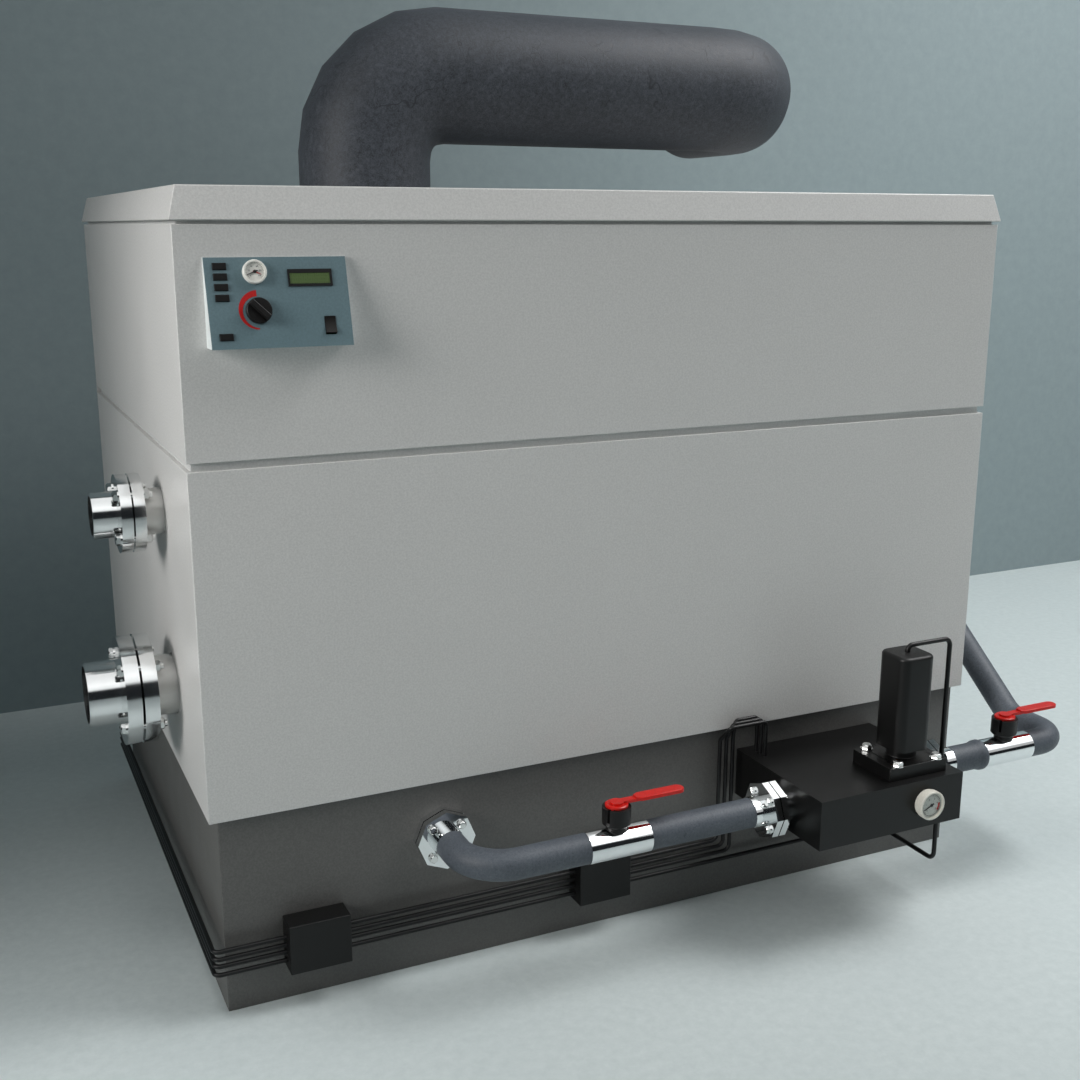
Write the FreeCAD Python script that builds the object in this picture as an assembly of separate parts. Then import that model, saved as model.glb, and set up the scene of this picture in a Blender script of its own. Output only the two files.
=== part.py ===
import FreeCAD, Part
import math
import os

# Gas pool heater: a floor-standing, atmospheric, finned-tube water heater for
# a large pool.  Sheet-metal cabinet on a plinth, flue duct on top, two flanged
# water connections on the left (-X), a gas train along the front and a sloping
# control panel.
# Millimetres.  +Z up, the front faces -Y.  The origin is on the floor at the
# centre of the cabinet's footprint.

Vector = FreeCAD.Vector
RIGHT, LEFT = (1, 0, 0), (-1, 0, 0)
BACK, FRONT = (0, 1, 0), (0, -1, 0)
UP = (0, 0, 1)
CORNERS = [(sx, sy) for sx in (-1, 1) for sy in (-1, 1)]

# ------------------------------------------------- dimensions shared by sections
# cabinet
HALF_W, HALF_D = 1400.0 / 2, 982.0 / 2      # half width (X), half depth (Y)
PLINTH_TOP = 314.0
LOWER_TOP = 829.0                           # top of the lower jacket
UPPER_BOTTOM, UPPER_TOP = 841.0, 1156.0     # upper jacket
CAP_BOTTOM, CAP_TOP = 1161.0, 1206.0
SHEET = 2.0                                 # jacket sheet
PLINTH_X, PLINTH_Y = HALF_W - 14.0, HALF_D - 12.0   # plinth half sizes
PLINTH_SHEET = 3.0


# water connections on the left side, axes along X
class UpperPort:
    y, z = -244.0, 730.0
    collar_r, collar_l = 35.5, 30.0
    plate_r, plate_t, gap = 60.0, 16.5, 2.5
    sleeve_r, end_x = 35.75, -803.0
    socket_r, bore_r = 30.3, 26.5
    header_bore_r = bore_r
    gasket_r = 0.62 * plate_r
    pitch_d = 93.0


class LowerPort:
    y, z = -250.0, 452.0
    collar_r, collar_l = 47.0, 34.0
    plate_r, plate_t, gap = 85.0, 22.0, 3.5
    sleeve_r, end_x = 50.0, -832.0
    socket_r, bore_r = 44.6, 40.0
    header_bore_r = 36.0
    gasket_r = 0.66 * plate_r
    pitch_d = 132.0


# gas train
PIPE_R, PIPE_BORE = 24.15, 20.5             # 1 1/2 inch pipe, 48.3 mm outside
FEED_X, FEED_Z = -340.0, 220.0              # burner feed flange on the plinth
RUN_Y, RUN_Z = -619.0, 220.0                # burner feed pipe run, along X
SUPPLY_Y, SUPPLY_Z = -600.5, 226.0          # supply pipe axis at the gas block
BLOCK = (210.0, 498.0, -722.0, -479.0, 184.0, 268.0)    # x0 x1 y0 y1 z0 z1
BLOCK_X0, BLOCK_X1, BLOCK_FRONT, _, _, BLOCK_TOP = BLOCK

# flue
FLUE_X, FLUE_Y, FLUE_R, FLUE_T = -281.0, 0.0, 113.0, 6.0

# control panel: wedge, 5 mm deep at the top and 35 mm at the bottom
PANEL_X0, PANEL_X1, PANEL_Z0, PANEL_Z1 = -662.5, -470.5, 995.5, 1113.5

os.makedirs("parts", exist_ok=True)


# ---------------------------------------------------------------------- helpers
def box(x0, x1, y0, y1, z0, z1):
    return Part.makeBox(x1 - x0, y1 - y0, z1 - z0, Vector(x0, y0, z0))


def rect(half_x, half_y, x=0.0):
    """Bounds x0, x1, y0, y1 of a rectangle centred on (x, 0)."""
    return x - half_x, x + half_x, -half_y, half_y


def centred_box(half_x, half_y, z0, z1):
    return box(*rect(half_x, half_y), z0, z1)


def span(side, near, far):
    """Interval from near to far on the + or - side of zero, in rising order."""
    return sorted((side * near, side * far))


def cyl(start, axis, radius, length):
    return Part.makeCylinder(radius, length, Vector(*start), Vector(*axis))


def cone(start, axis, radius0, radius1, length):
    return Part.makeCone(radius0, radius1, length, Vector(*start), Vector(*axis))


def tube(start, axis, outer_r, inner_r, length):
    return cyl(start, axis, outer_r, length).cut(cyl(start, axis, inner_r, length))


def fuse(first, *rest):
    shape = first.multiFuse(list(rest)) if rest else first
    return shape.removeSplitter()


def cut(shape, *tools):
    return shape.cut(list(tools)) if len(tools) > 1 else shape.cut(tools[0])


def prism(points, extrusion):
    """Closed polygon through the points, extruded by a vector."""
    wire = Part.makePolygon([Vector(*p) for p in points] + [Vector(*points[0])])
    return Part.Face(wire).extrude(Vector(*extrusion))


def regular_prism(centre, axis, radius, sides, length):
    """Regular prism from centre along axis, radius to its vertices."""
    axis = Vector(*axis).normalize()
    first = Vector(0, 0, 1) if abs(axis.z) < 0.9 else Vector(1, 0, 0)
    second = axis.cross(first)
    points = []
    for i in range(sides):
        angle = math.radians(360.0 * i / sides)
        points.append(Vector(*centre) + first * (radius * math.cos(angle))
                      + second * (radius * math.sin(angle)))
    return prism(points, axis * length)


def frustum(bottom, bottom_z, top, top_z):
    """Solid with planar sides between two rectangles (x0, x1, y0, y1)."""
    rings = []
    for (x0, x1, y0, y1), z in ((bottom, bottom_z), (top, top_z)):
        rings.append([Vector(x0, y0, z), Vector(x1, y0, z), Vector(x1, y1, z), Vector(x0, y1, z)])
    low, high = rings
    faces = [Part.Face(Part.makePolygon(ring + [ring[0]])) for ring in rings]
    for i in range(4):
        j = (i + 1) % 4
        faces.append(Part.Face(Part.makePolygon([low[i], low[j], high[j], high[i], low[i]])))
    solid = Part.Solid(Part.Shell(faces))
    if solid.Volume < 0:
        solid.reverse()
    return solid


def rounded_path(points, radii):
    """Wire through the points with rounded corners; radii: one, or one per corner."""
    points = [Vector(*p) for p in points]
    if not isinstance(radii, list):
        radii = [radii] * (len(points) - 2)
    edges = []
    current = points[0]
    for before, corner, after, radius in zip(points, points[1:], points[2:], radii):
        incoming = (corner - before).normalize()
        outgoing = (after - corner).normalize()
        half_angle = incoming.getAngle(outgoing) / 2
        setback = radius * math.tan(half_angle)
        start, end = corner - incoming * setback, corner + outgoing * setback
        inward = (outgoing - incoming).normalize()
        middle = corner + inward * (radius / math.cos(half_angle)) - inward * radius
        if (start - current).Length > 1e-6:
            edges.append(Part.makeLine(current, start))
        edges.append(Part.Arc(start, middle, end).toShape())
        current = end
    edges.append(Part.makeLine(current, points[-1]))
    return Part.Wire(edges)


def sweep(points, radii, section_r):
    """Round bar along a rounded path."""
    path = rounded_path(points, radii)
    direction = (Vector(*points[1]) - Vector(*points[0])).normalize()
    section = Part.Wire(Part.makeCircle(section_r, Vector(*points[0]), direction))
    solid = path.makePipeShell([section], True, False)
    if solid.Volume < 0:
        solid.reverse()
    return solid


def pipe_sweep(points, radii):
    return sweep(points, radii, PIPE_R).cut(sweep(points, radii, PIPE_BORE))


def bolt_circle(centre, pitch_d, first, second):
    """Four points at 45 degrees between the directions first and second."""
    points = []
    for k in range(4):
        angle = math.radians(45 + 90 * k)
        points.append(Vector(*centre) + Vector(*first) * (pitch_d / 2 * math.cos(angle))
                      + Vector(*second) * (pitch_d / 2 * math.sin(angle)))
    return points


def hex_head(seat, axis, flats, height, washer_r, washer_t):
    """Washer and chamfered hexagon standing on seat, pointing along axis."""
    axis = Vector(*axis).normalize()
    base = Vector(*seat)
    washer = cyl(base, axis, washer_r, washer_t)
    base = base + axis * washer_t
    head = regular_prism(base, axis, flats / math.sqrt(3), 6, height)
    taper = cone(base + axis * (height * 0.6), axis, flats * 0.62, flats * 0.36,
                 height * 0.55 + 0.01)
    straight = cyl(base, axis, flats * 0.62, height * 0.6 + 0.01)
    return [washer, head.common(straight.fuse(taper))]


def through_bolt(seat, axis, radius, flats, grip, head_h, nut_h, proud, washer_r, washer_t):
    """Hex bolt along axis from its head side face through the grip to a nut."""
    axis = Vector(*axis).normalize()
    seat = Vector(*seat)
    shank = cyl(seat - axis * washer_t, axis, radius, grip + washer_t * 2 + nut_h + proud)
    head = hex_head(seat, axis * -1, flats, head_h, washer_r, washer_t)
    nut = hex_head(seat + axis * grip, axis, flats, nut_h, washer_r, washer_t)
    return fuse(shank, *(head + nut))


def save(name, *solids):
    shape = solids[0] if len(solids) == 1 else Part.makeCompound(list(solids))
    if len(shape.Solids) == 1 and shape.ShapeType != "Solid":
        shape = shape.Solids[0]
    shape.exportStep("parts/" + name + ".step")


# ====================================================================== cabinet
def plinth():
    """Four walls with a top flange, the feed pipe's holes and slots behind."""
    inner_x, inner_y = PLINTH_X - PLINTH_SHEET, PLINTH_Y - PLINTH_SHEET
    return cut(centred_box(PLINTH_X, PLINTH_Y, 0, PLINTH_TOP),
               centred_box(inner_x, inner_y, -1, PLINTH_TOP - PLINTH_SHEET),
               centred_box(PLINTH_X - 60, PLINTH_Y - 60, -1, PLINTH_TOP + 1),
               cyl((FEED_X, -PLINTH_Y - 5, FEED_Z), BACK, PIPE_R + 1.5, 12),
               cyl((FEED_X, MANIFOLD_Y, 300), UP, PIPE_R + 2.5, 30),
               *[box(x, x + 100, PLINTH_Y - 5, PLINTH_Y + 5, z, z + 14)
                 for x in range(-520, 531, 150) for z in (150, 185, 220)])


def base_frame():
    """Angle-iron ring on four corner posts, with two cross members."""
    half_x, half_y = PLINTH_X - PLINTH_SHEET - 3, PLINTH_Y - PLINTH_SHEET - 3
    leg, thick, top = 60, 5, 310
    wide_x, wide_y = (half_x - leg, half_x), (half_y - leg, half_y)
    thin_x, thin_y = (half_x - thick, half_x), (half_y - thick, half_y)
    posts = [fuse(box(*span(sx, *wide_x), *span(sy, *thin_y), 0, 262),
                  box(*span(sx, *thin_x), *span(sy, *wide_y), 0, 262),
                  box(*span(sx, *wide_x), *span(sy, *wide_y), 0, 6))
             for sx, sy in CORNERS]
    cross_members = [fuse(box(*rect(2.5, half_y - 4, x), 262, top),
                          box(*rect(30, half_y - 4, x), top - thick, top))
                     for x in (-535, 535)]
    frame = fuse(cut(centred_box(half_x, half_y, 260, top),
                     centred_box(half_x - thick, half_y - thick, 255, 315)),
                 cut(centred_box(half_x, half_y, top - thick, top),
                     centred_box(half_x - 50, half_y - 50, 300, 315)),
                 *posts, *cross_members)
    anchor_x, anchor_y, anchor_r = 645.0, 438.0, 6.0
    return cut(frame, cyl((FEED_X, MANIFOLD_Y, 200), UP, PIPE_R + 2.5, 130),
               *[cyl((sx * anchor_x, sy * anchor_y, -1), UP, anchor_r, 8)
                 for sx, sy in CORNERS])


def jacket(z0, z1, holes):
    """U-shaped folded sheet with return flanges, open at the rear."""
    rear_y = HALF_D - 3.0
    flange = 26
    shell = cut(box(-HALF_W, HALF_W, -HALF_D, rear_y, z0, z1),
                box(-HALF_W + SHEET, HALF_W - SHEET, -HALF_D + SHEET, rear_y + 5,
                    z0 + SHEET, z1 - SHEET),
                box(-HALF_W + flange, HALF_W - flange, -HALF_D + flange, rear_y + 5,
                    z0 - 5, z1 + 5))
    lips = [box(*span(side, HALF_W - 22, HALF_W), rear_y - SHEET, rear_y, z0, z1)
            for side in (-1, 1)]
    return cut(fuse(shell, *lips), *holes)


def rear_panel():
    """Flat sheet with hooded louvres and two columns of screw heads."""
    louvres = [(x, z) for x in range(-560, 561, 160) for z in (1040, 1062, 1084)]
    face_y = HALF_D - 1
    sheet = cut(box(-HALF_W, HALF_W, HALF_D - 3, face_y, PLINTH_TOP, UPPER_TOP),
                *[box(x, x + 120, HALF_D - 5, HALF_D, z, z + 10) for x, z in louvres])
    hoods = [prism([(x - 2, face_y, z + 14), (x - 2, face_y, z + 10),
                    (x - 2, HALF_D + 5, z - 1), (x - 2, HALF_D + 5, z + 3)], (124, 0, 0))
             for x, z in louvres]
    screws = [cyl((x, face_y, z), BACK, 6, 2.4) for x in (-688, 688)
              for z in (340, 500, 660, 805, 860, 1000, 1135)]
    return fuse(sheet, *hoods, *screws)


def groove_ring(z0, z1):
    """Recessed ring at the bottom of a shadow groove."""
    depth = 7.5
    return cut(box(-HALF_W + depth, HALF_W - depth, -HALF_D + depth, HALF_D - 6, z0, z1),
               centred_box(HALF_W - 25, HALF_D - 25, z0 - 1, z1 + 1))


def top_cap():
    """Folded lid with sloping sides and the flue's hole."""
    overhang, sheet = 3.5, 3.0
    low_x, low_y = HALF_W + overhang, HALF_D + overhang
    high_x, high_y = low_x - 12.0, low_y - 10.0
    lid = cut(frustum(rect(low_x, low_y), CAP_BOTTOM, rect(high_x, high_y), CAP_TOP),
              frustum(rect(low_x - sheet, low_y - sheet), CAP_BOTTOM - 1,
                      rect(high_x - sheet, high_y - sheet), CAP_TOP - sheet),
              cyl((FLUE_X, FLUE_Y, CAP_TOP - 20), UP, FLUE_R + 0.6, 40))
    bottom_flange = cut(centred_box(HALF_W + 1.5, HALF_D + 1.5, CAP_BOTTOM, CAP_BOTTOM + 2.5),
                        centred_box(HALF_W - 40, HALF_D - 40, CAP_BOTTOM - 1, CAP_BOTTOM + 5))
    return fuse(lid, bottom_flange)


MANIFOLD_Y = -450.0
port_holes = [cyl((-HALF_W - 5, port.y, port.z), RIGHT, port.collar_r + 1.0, 12)
              for port in (UpperPort, LowerPort)]
panel_window = box(PANEL_X0 + 14, PANEL_X1 - 14, -HALF_D - 5, -HALF_D + 5,
                   PANEL_Z0 + 12, PANEL_Z1 - 5)
save("plinth", plinth())
save("base_frame", base_frame())
save("lower_jacket", jacket(PLINTH_TOP, LOWER_TOP, port_holes))
save("upper_jacket", jacket(UPPER_BOTTOM, UPPER_TOP, [panel_window]))
save("rear_panel", rear_panel())
save("trim_frame", groove_ring(LOWER_TOP, UPPER_BOTTOM), groove_ring(UPPER_TOP, CAP_BOTTOM))
save("top_cap", top_cap())

# ====================================================================== burners
TRAY_X, TRAY_Y, TRAY_Z0, TRAY_Z1 = 550.0, 400.0, 310.0, 380.0   # half sizes, bottom, top
BURNER_XS = [-440 + 80 * i for i in range(12)]
BURNER_Z, BURNER_R = 345.0, 21.0


def burner_tray():
    """Tray holding the burner tubes in front and a rail for their pins behind."""
    sheet = 3
    tray = cut(centred_box(TRAY_X, TRAY_Y, TRAY_Z0, TRAY_Z1),
               centred_box(TRAY_X - sheet, TRAY_Y - sheet, TRAY_Z0 + sheet, TRAY_Z1 - sheet),
               centred_box(TRAY_X - 28, TRAY_Y - 42, TRAY_Z0 + 10, TRAY_Z1 + 5),
               *[cyl((x, -TRAY_Y - 5, BURNER_Z), BACK, BURNER_R + 0.5, 12) for x in BURNER_XS],
               *[box(x + 28, x + 52, -300, 300, TRAY_Z0 - 5, TRAY_Z0 + 8)
                 for x in BURNER_XS[:-1]])
    rail = cut(box(-TRAY_X + sheet, TRAY_X - sheet, 345, 348, TRAY_Z0 + sheet, 366),
               *[cyl((x, 340, BURNER_Z), BACK, 6.0, 12) for x in BURNER_XS])
    return fuse(tray, rail)


def burner_tube(x):
    """Slotted tube with a flared mouth at the front and a pin at the back."""
    bore = BURNER_R - 2
    solid = fuse(cyl((x, -402, BURNER_Z), BACK, BURNER_R, 742),
                 cone((x, -420, BURNER_Z), BACK, 27, BURNER_R, 18),
                 cyl((x, 340, BURNER_Z), BACK, 5.8, 12))
    return cut(solid, cyl((x, -410, BURNER_Z), BACK, bore, 748),
               cone((x, -421, BURNER_Z), BACK, 25.6, bore, 18),
               *[box(x - 14, x + 14, y, y + 4, BURNER_Z + 8, BURNER_Z + 30)
                 for y in range(-340, 277, 56)])


def gas_manifold():
    """Cross tube fed by a riser and an elbow through the plinth's front."""
    elbow = (FEED_X, MANIFOLD_Y, FEED_Z)
    rise = BURNER_Z - FEED_Z
    solid = fuse(cyl((-480, MANIFOLD_Y, BURNER_Z), RIGHT, 17, 960),
                 cyl(elbow, UP, PIPE_R, 75),
                 cone((FEED_X, MANIFOLD_Y, FEED_Z + 75), UP, PIPE_R, 12, 14),
                 cyl((FEED_X, MANIFOLD_Y, FEED_Z + 80), UP, 12, rise - 80),
                 Part.makeSphere(PIPE_R, Vector(*elbow)),
                 cyl((FEED_X, -PLINTH_Y, FEED_Z), BACK, PIPE_R, MANIFOLD_Y + PLINTH_Y))
    return cut(solid, cyl((-474, MANIFOLD_Y, BURNER_Z), RIGHT, 13.5, 948),
               cyl(elbow, UP, PIPE_BORE, 73),
               cyl((FEED_X, MANIFOLD_Y, FEED_Z + 70), UP, 9, rise - 70),
               Part.makeSphere(PIPE_BORE, Vector(*elbow)),
               cyl((FEED_X, -PLINTH_Y - 1, FEED_Z), BACK, PIPE_BORE,
                   MANIFOLD_Y + PLINTH_Y + 1),
               *[cyl((x, MANIFOLD_Y + 5, BURNER_Z), BACK, 4.05, 20) for x in BURNER_XS])


def burner_orifice(x):
    solid = fuse(cyl((x, MANIFOLD_Y + 12, BURNER_Z), BACK, 4.0, 8),
                 regular_prism((x, MANIFOLD_Y + 17.3, BURNER_Z), BACK, 6.5, 6, 5),
                 cone((x, MANIFOLD_Y + 22.3, BURNER_Z), BACK, 5, 2.5, 5))
    return cut(solid, cyl((x, MANIFOLD_Y + 10, BURNER_Z), BACK, 1.2, 30))


def flame_igniter():
    """Rod on a bracket beside the last burner, its thin tip bent up."""
    x, z = 491, 358
    return fuse(box(482, 500, -380, -377, 313, 372),
                cyl((x, -390, z), BACK, 6, 50),
                cyl((x, -345, z), BACK, 2, 45),
                cyl((x, -304, z - 1), UP, 1.5, 15))


save("burner_tray", burner_tray())
save("burner_tubes", *[burner_tube(x) for x in BURNER_XS])
save("gas_manifold", gas_manifold())
save("burner_orifices", *[burner_orifice(x) for x in BURNER_XS])
save("flame_igniter", flame_igniter())

# =============================================================== heat exchanger
CHAMBER_TOP = 790.0                         # top of headers and front refractory
TUBE_R, TUBE_BORE, FIN_R = 11.0, 9.5, 25.0
TUBE_YS = [-240 + 60 * i for i in range(9)]
TUBE_ZS = (650.0, 712.0)
TUBE_HALF_L = 572.0


def refractory_panels():
    """Front, rear, left and right panels around the combustion chamber."""
    return [box(-550, 550, -400, -360, TRAY_Z1, CHAMBER_TOP),
            box(-550, 550, 360, 400, TRAY_Z1, CHAMBER_TOP),
            box(-550, -525, -358, 358, TRAY_Z1, 600),
            box(525, 550, -358, 358, TRAY_Z1, 600)]


def finned_tube(y, z):
    """Tube and fins revolved from one half section."""
    fins, fin_t, last_fin_x = 26, 3.0, 540.0
    pitch = 2 * last_fin_x / (fins - 1)
    profile = [Vector(-TUBE_HALF_L, 0, TUBE_BORE), Vector(TUBE_HALF_L, 0, TUBE_BORE),
               Vector(TUBE_HALF_L, 0, TUBE_R)]
    for i in range(fins):
        x = last_fin_x - pitch * i
        profile += [Vector(x + fin_t / 2, 0, TUBE_R), Vector(x + fin_t / 2, 0, FIN_R),
                    Vector(x - fin_t / 2, 0, FIN_R), Vector(x - fin_t / 2, 0, TUBE_R)]
    profile += [Vector(-TUBE_HALF_L, 0, TUBE_R), Vector(-TUBE_HALF_L, 0, TUBE_BORE)]
    solid = Part.Face(Part.makePolygon(profile)).revolve(Vector(0, 0, 0), Vector(1, 0, 0), 360)
    solid = Part.Solid(solid) if solid.ShapeType != "Solid" else solid
    solid.translate(Vector(0, y, z))
    return solid


def header(side):
    """Hollow casting closing the tube ends on the left (-1) or right (+1).
    The left one is divided and carries the two water spigots."""
    inner_x, half_y, z0, z1, wall = 560.0, 330.0, 410.0, CHAMBER_TOP, 12
    x0, x1 = span(side, inner_x, 640.0)
    cavity = (x0 + wall, x1 - wall, -half_y + wall, half_y - wall)
    tools = [box(*cavity, z0 + wall, 676),
             box(*cavity, 686, z1 - wall)]
    body = box(x0, x1, -half_y, half_y, z0, z1)
    if side > 0:
        tools.append(box(*cavity, 600, z1 - wall))      # joins the two chambers
    else:
        ports = (UpperPort, LowerPort)
        body = body.multiFuse([
            cyl((-HALF_W - port.collar_l, port.y, port.z), RIGHT, port.collar_r,
                HALF_W + port.collar_l + x0 + 2) for port in ports])
        tools += [cyl((-HALF_W - 40, port.y, port.z), RIGHT, port.header_bore_r,
                      HALF_W + 40 + x0 + 20) for port in ports]
    hole_x = span(side, inner_x - 1, inner_x + wall + 1)[0]
    tools += [cyl((hole_x, y, z), RIGHT, TUBE_R + 0.05, wall + 2)
              for y in TUBE_YS for z in TUBE_ZS]
    return cut(body, *tools)


def flue_collector():
    """Sheet hood over the tube bank with a round spigot."""
    spigot_bore = 103
    hood = cut(frustum(rect(550, 400), 790, rect(130, 130, FLUE_X), 1100),
               frustum(rect(546, 396), 789.5, rect(127, 127, FLUE_X), 1097),
               cyl((FLUE_X, FLUE_Y, 1050), UP, spigot_bore, 80))
    return fuse(hood, tube((FLUE_X, FLUE_Y, 1096), UP, FLUE_R - FLUE_T - 0.5, spigot_bore, 84))


save("refractory_panels", *refractory_panels())
save("finned_tubes", *[finned_tube(y, z) for z in TUBE_ZS for y in TUBE_YS])
save("left_header", header(-1))
save("right_header", header(1))
save("flue_collector", flue_collector())

# ==================================================================== flue duct
FLUE_Z = 1407.6                             # axis height of the horizontal run
BEND_1, BEND_2 = 138.0, 124.0               # centre-line bend radii
FLUE_END_X, FLUE_END_Y = 526.0, 255.0
FLUE_SOCKET_R, FLUE_SOCKET_L = 109.0, 60.0


def half_space(point, normal, size):
    """Large block on the side of the plane at point that normal points to."""
    block = Part.makeBox(size, size, size, Vector(-size / 2, -size / 2, 0))
    block.Placement = FreeCAD.Placement(point, FreeCAD.Rotation(Vector(0, 0, 1), normal))
    return block


def mitred_duct(points, radius):
    """Straight cylinders mitred together along a polyline."""
    directions = [(b - a).normalize() for a, b in zip(points, points[1:])]
    last = len(directions) - 1
    size = 6 * radius
    pieces = []
    for i, direction in enumerate(directions):
        extra_start = radius if i > 0 else 0.0
        extra_end = radius if i < last else 0.0
        piece = cyl(points[i] - direction * extra_start, direction, radius,
                    (points[i + 1] - points[i]).Length + extra_start + extra_end)
        if i > 0:
            normal = (directions[i - 1] + direction).normalize()
            piece = piece.cut(half_space(points[i], normal * -1, size))
        if i < last:
            normal = (direction + directions[i + 1]).normalize()
            piece = piece.cut(half_space(points[i + 1], normal, size))
        pieces.append(piece)
    return pieces[0].multiFuse(pieces[1:])


def arc_points(centre, radius, start, end, steps, second):
    """Points on an arc, angles in degrees measured from +X towards second."""
    points = []
    for i in range(steps + 1):
        angle = math.radians(start + (end - start) * i / steps)
        points.append(Vector(*centre) + Vector(radius * math.cos(angle), 0, 0)
                      + Vector(*second) * (radius * math.sin(angle)))
    return points


def flue_duct():
    """Riser, gored elbow, run to the right, gored elbow to the rear."""
    points = ([Vector(FLUE_X, FLUE_Y, 1150)]
              + arc_points((FLUE_X + BEND_1, FLUE_Y, FLUE_Z - BEND_1), BEND_1, 180, 90, 5, UP)
              + arc_points((FLUE_END_X - BEND_2, FLUE_Y + BEND_2, FLUE_Z), BEND_2, -90, 0, 4,
                           BACK)
              + [Vector(FLUE_END_X, FLUE_END_Y, FLUE_Z)])
    duct = mitred_duct(points, FLUE_R).cut(mitred_duct(points, FLUE_R - FLUE_T))
    return duct.cut(cyl((FLUE_END_X, FLUE_END_Y + 1, FLUE_Z), FRONT,
                        FLUE_SOCKET_R, FLUE_SOCKET_L + 1))


save("flue_duct", flue_duct())

# ============================================================ water connections
WATER_BOLT_R = 5.0                          # M10


def plate_holes(port, x):
    return [cyl(point, RIGHT, WATER_BOLT_R + 0.3, port.plate_t + 2)
            for point in bolt_circle((x - 1, port.y, port.z), port.pitch_d, BACK, UP)]


def water_port(name, port):
    """Saves the port's two flanges; returns its gasket and its bolts."""
    y, z = port.y, port.z
    collar_x = -HALF_W - port.collar_l
    inner_x = collar_x - port.plate_t       # left face of the inner plate
    gasket_x = inner_x - port.gap
    outer_x = gasket_x - port.plate_t       # left face of the outer plate
    inner = cut(cyl((inner_x, y, z), RIGHT, port.plate_r, port.plate_t),
                cyl((inner_x - 1, y, z), RIGHT, port.bore_r, port.plate_t + 2),
                *plate_holes(port, inner_x))
    sleeve_l = outer_x - port.end_x
    outer = fuse(cyl((outer_x, y, z), RIGHT, port.plate_r, port.plate_t),
                 cyl((port.end_x, y, z), RIGHT, port.sleeve_r, sleeve_l))
    outer = cut(outer,
                cyl((port.end_x - 1, y, z), RIGHT, port.socket_r, sleeve_l + 1 + 4),
                cyl((outer_x - 5, y, z), RIGHT, port.bore_r, port.plate_t + 12),
                *plate_holes(port, outer_x))
    save(name + "_inner_flange", inner)
    save(name + "_outer_flange", outer)
    gasket = tube((gasket_x, y, z), RIGHT, port.gasket_r, port.bore_r, port.gap)
    bolts = [through_bolt(point, RIGHT, WATER_BOLT_R, flats=16, grip=collar_x - outer_x,
                          head_h=7, nut_h=8, proud=4, washer_r=9.5, washer_t=1.6)
             for point in bolt_circle((outer_x, y, z), port.pitch_d, BACK, UP)]
    return gasket, bolts


upper_gasket, upper_bolts = water_port("upper_port", UpperPort)
lower_gasket, lower_bolts = water_port("lower_port", LowerPort)
save("water_port_bolts", *(upper_bolts + lower_bolts))

# ================================================================== gas flanges
SLEEVE_R, SLEEVE_BORE = 25.5, 24.2          # socket sleeves on the flanges
OCT_R, OCT_T, OCT_GAP = 47.7, 12.0, 2.0     # octagonal plates and gasket gap
OCT_PITCH_D, OCT_BOLT_R = 68.0, 4.0         # M8
PAIR_T = 2 * OCT_T + OCT_GAP
OUTLET_SLEEVE_L = 24
OUTLET_X = 143.0 + OUTLET_SLEEVE_L          # left face of the block's outlet pair
NECK_L = 17                                 # plain neck of the inlet pair
INLET_X = BLOCK_X1 + NECK_L                 # left face of the block's inlet pair
FEED_OUTER_Y = -PLINTH_Y - PAIR_T           # front face of the plinth pair


def oct_circle(centre, axis):
    axis = Vector(*axis)
    return bolt_circle(centre, OCT_PITCH_D, UP, axis.cross(Vector(0, 0, 1)))


def oct_flange(start, axis, sleeve_l, sleeve_bore=SLEEVE_BORE):
    """Octagonal plate from start along axis, with a sleeve beyond it."""
    axis = Vector(*axis)
    start = Vector(*start)
    plate = regular_prism(start, axis, OCT_R, 8, OCT_T)
    tools = [cyl(start - axis, axis, PIPE_BORE, OCT_T + 2)]
    if sleeve_l:
        sleeve_start = start + axis * OCT_T
        plate = plate.fuse(cyl(sleeve_start, axis, SLEEVE_R, sleeve_l))
        tools.append(cyl(sleeve_start, axis, sleeve_bore, sleeve_l + 2))
    tools += [cyl(point - axis, axis, OCT_BOLT_R + 0.25, OCT_T + 2)
              for point in oct_circle(start, axis)]
    return cut(plate, *tools).removeSplitter()


def oct_gasket(start, axis):
    return tube(start, axis, 27.5, PIPE_BORE, OCT_GAP)


def oct_bolts(centre, axis):
    """Four bolts through a flange pair; centre is on the head side face."""
    return [through_bolt(point, axis, OCT_BOLT_R, flats=12, grip=PAIR_T,
                         head_h=5.5, nut_h=6, proud=3, washer_r=8, washer_t=1.4)
            for point in oct_circle(centre, axis)]


def plinth_bolts():
    """Short bolts of the plinth pair, which is studded into its inner plate."""
    centre = (FEED_X, FEED_OUTER_Y, FEED_Z)
    return [fuse(cyl(point - Vector(0, 1, 0), BACK, OCT_BOLT_R, PAIR_T - 1),
                 *hex_head(point, FRONT, 12, 5.5, 8, 1.4))
            for point in bolt_circle(centre, OCT_PITCH_D, RIGHT, UP)]


feed_gasket_at = (FEED_X, -PLINTH_Y - OCT_T - OCT_GAP, FEED_Z)
outlet_gasket_at = (OUTLET_X + OCT_T, RUN_Y, RUN_Z)
inlet_gasket_at = (INLET_X + OCT_T, SUPPLY_Y, SUPPLY_Z)
save("gas_flanges",
     oct_flange((FEED_X, -PLINTH_Y, FEED_Z), FRONT, 0),
     oct_flange(feed_gasket_at, FRONT, 20),
     oct_flange(outlet_gasket_at, LEFT, OUTLET_SLEEVE_L),
     oct_flange((OUTLET_X + OCT_T + OCT_GAP, RUN_Y, RUN_Z), RIGHT,
                BLOCK_X0 - (OUTLET_X + PAIR_T), PIPE_BORE),
     oct_flange(inlet_gasket_at, LEFT, NECK_L, PIPE_BORE),
     oct_flange((INLET_X + OCT_T + OCT_GAP, SUPPLY_Y, SUPPLY_Z), RIGHT, 35))
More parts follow.
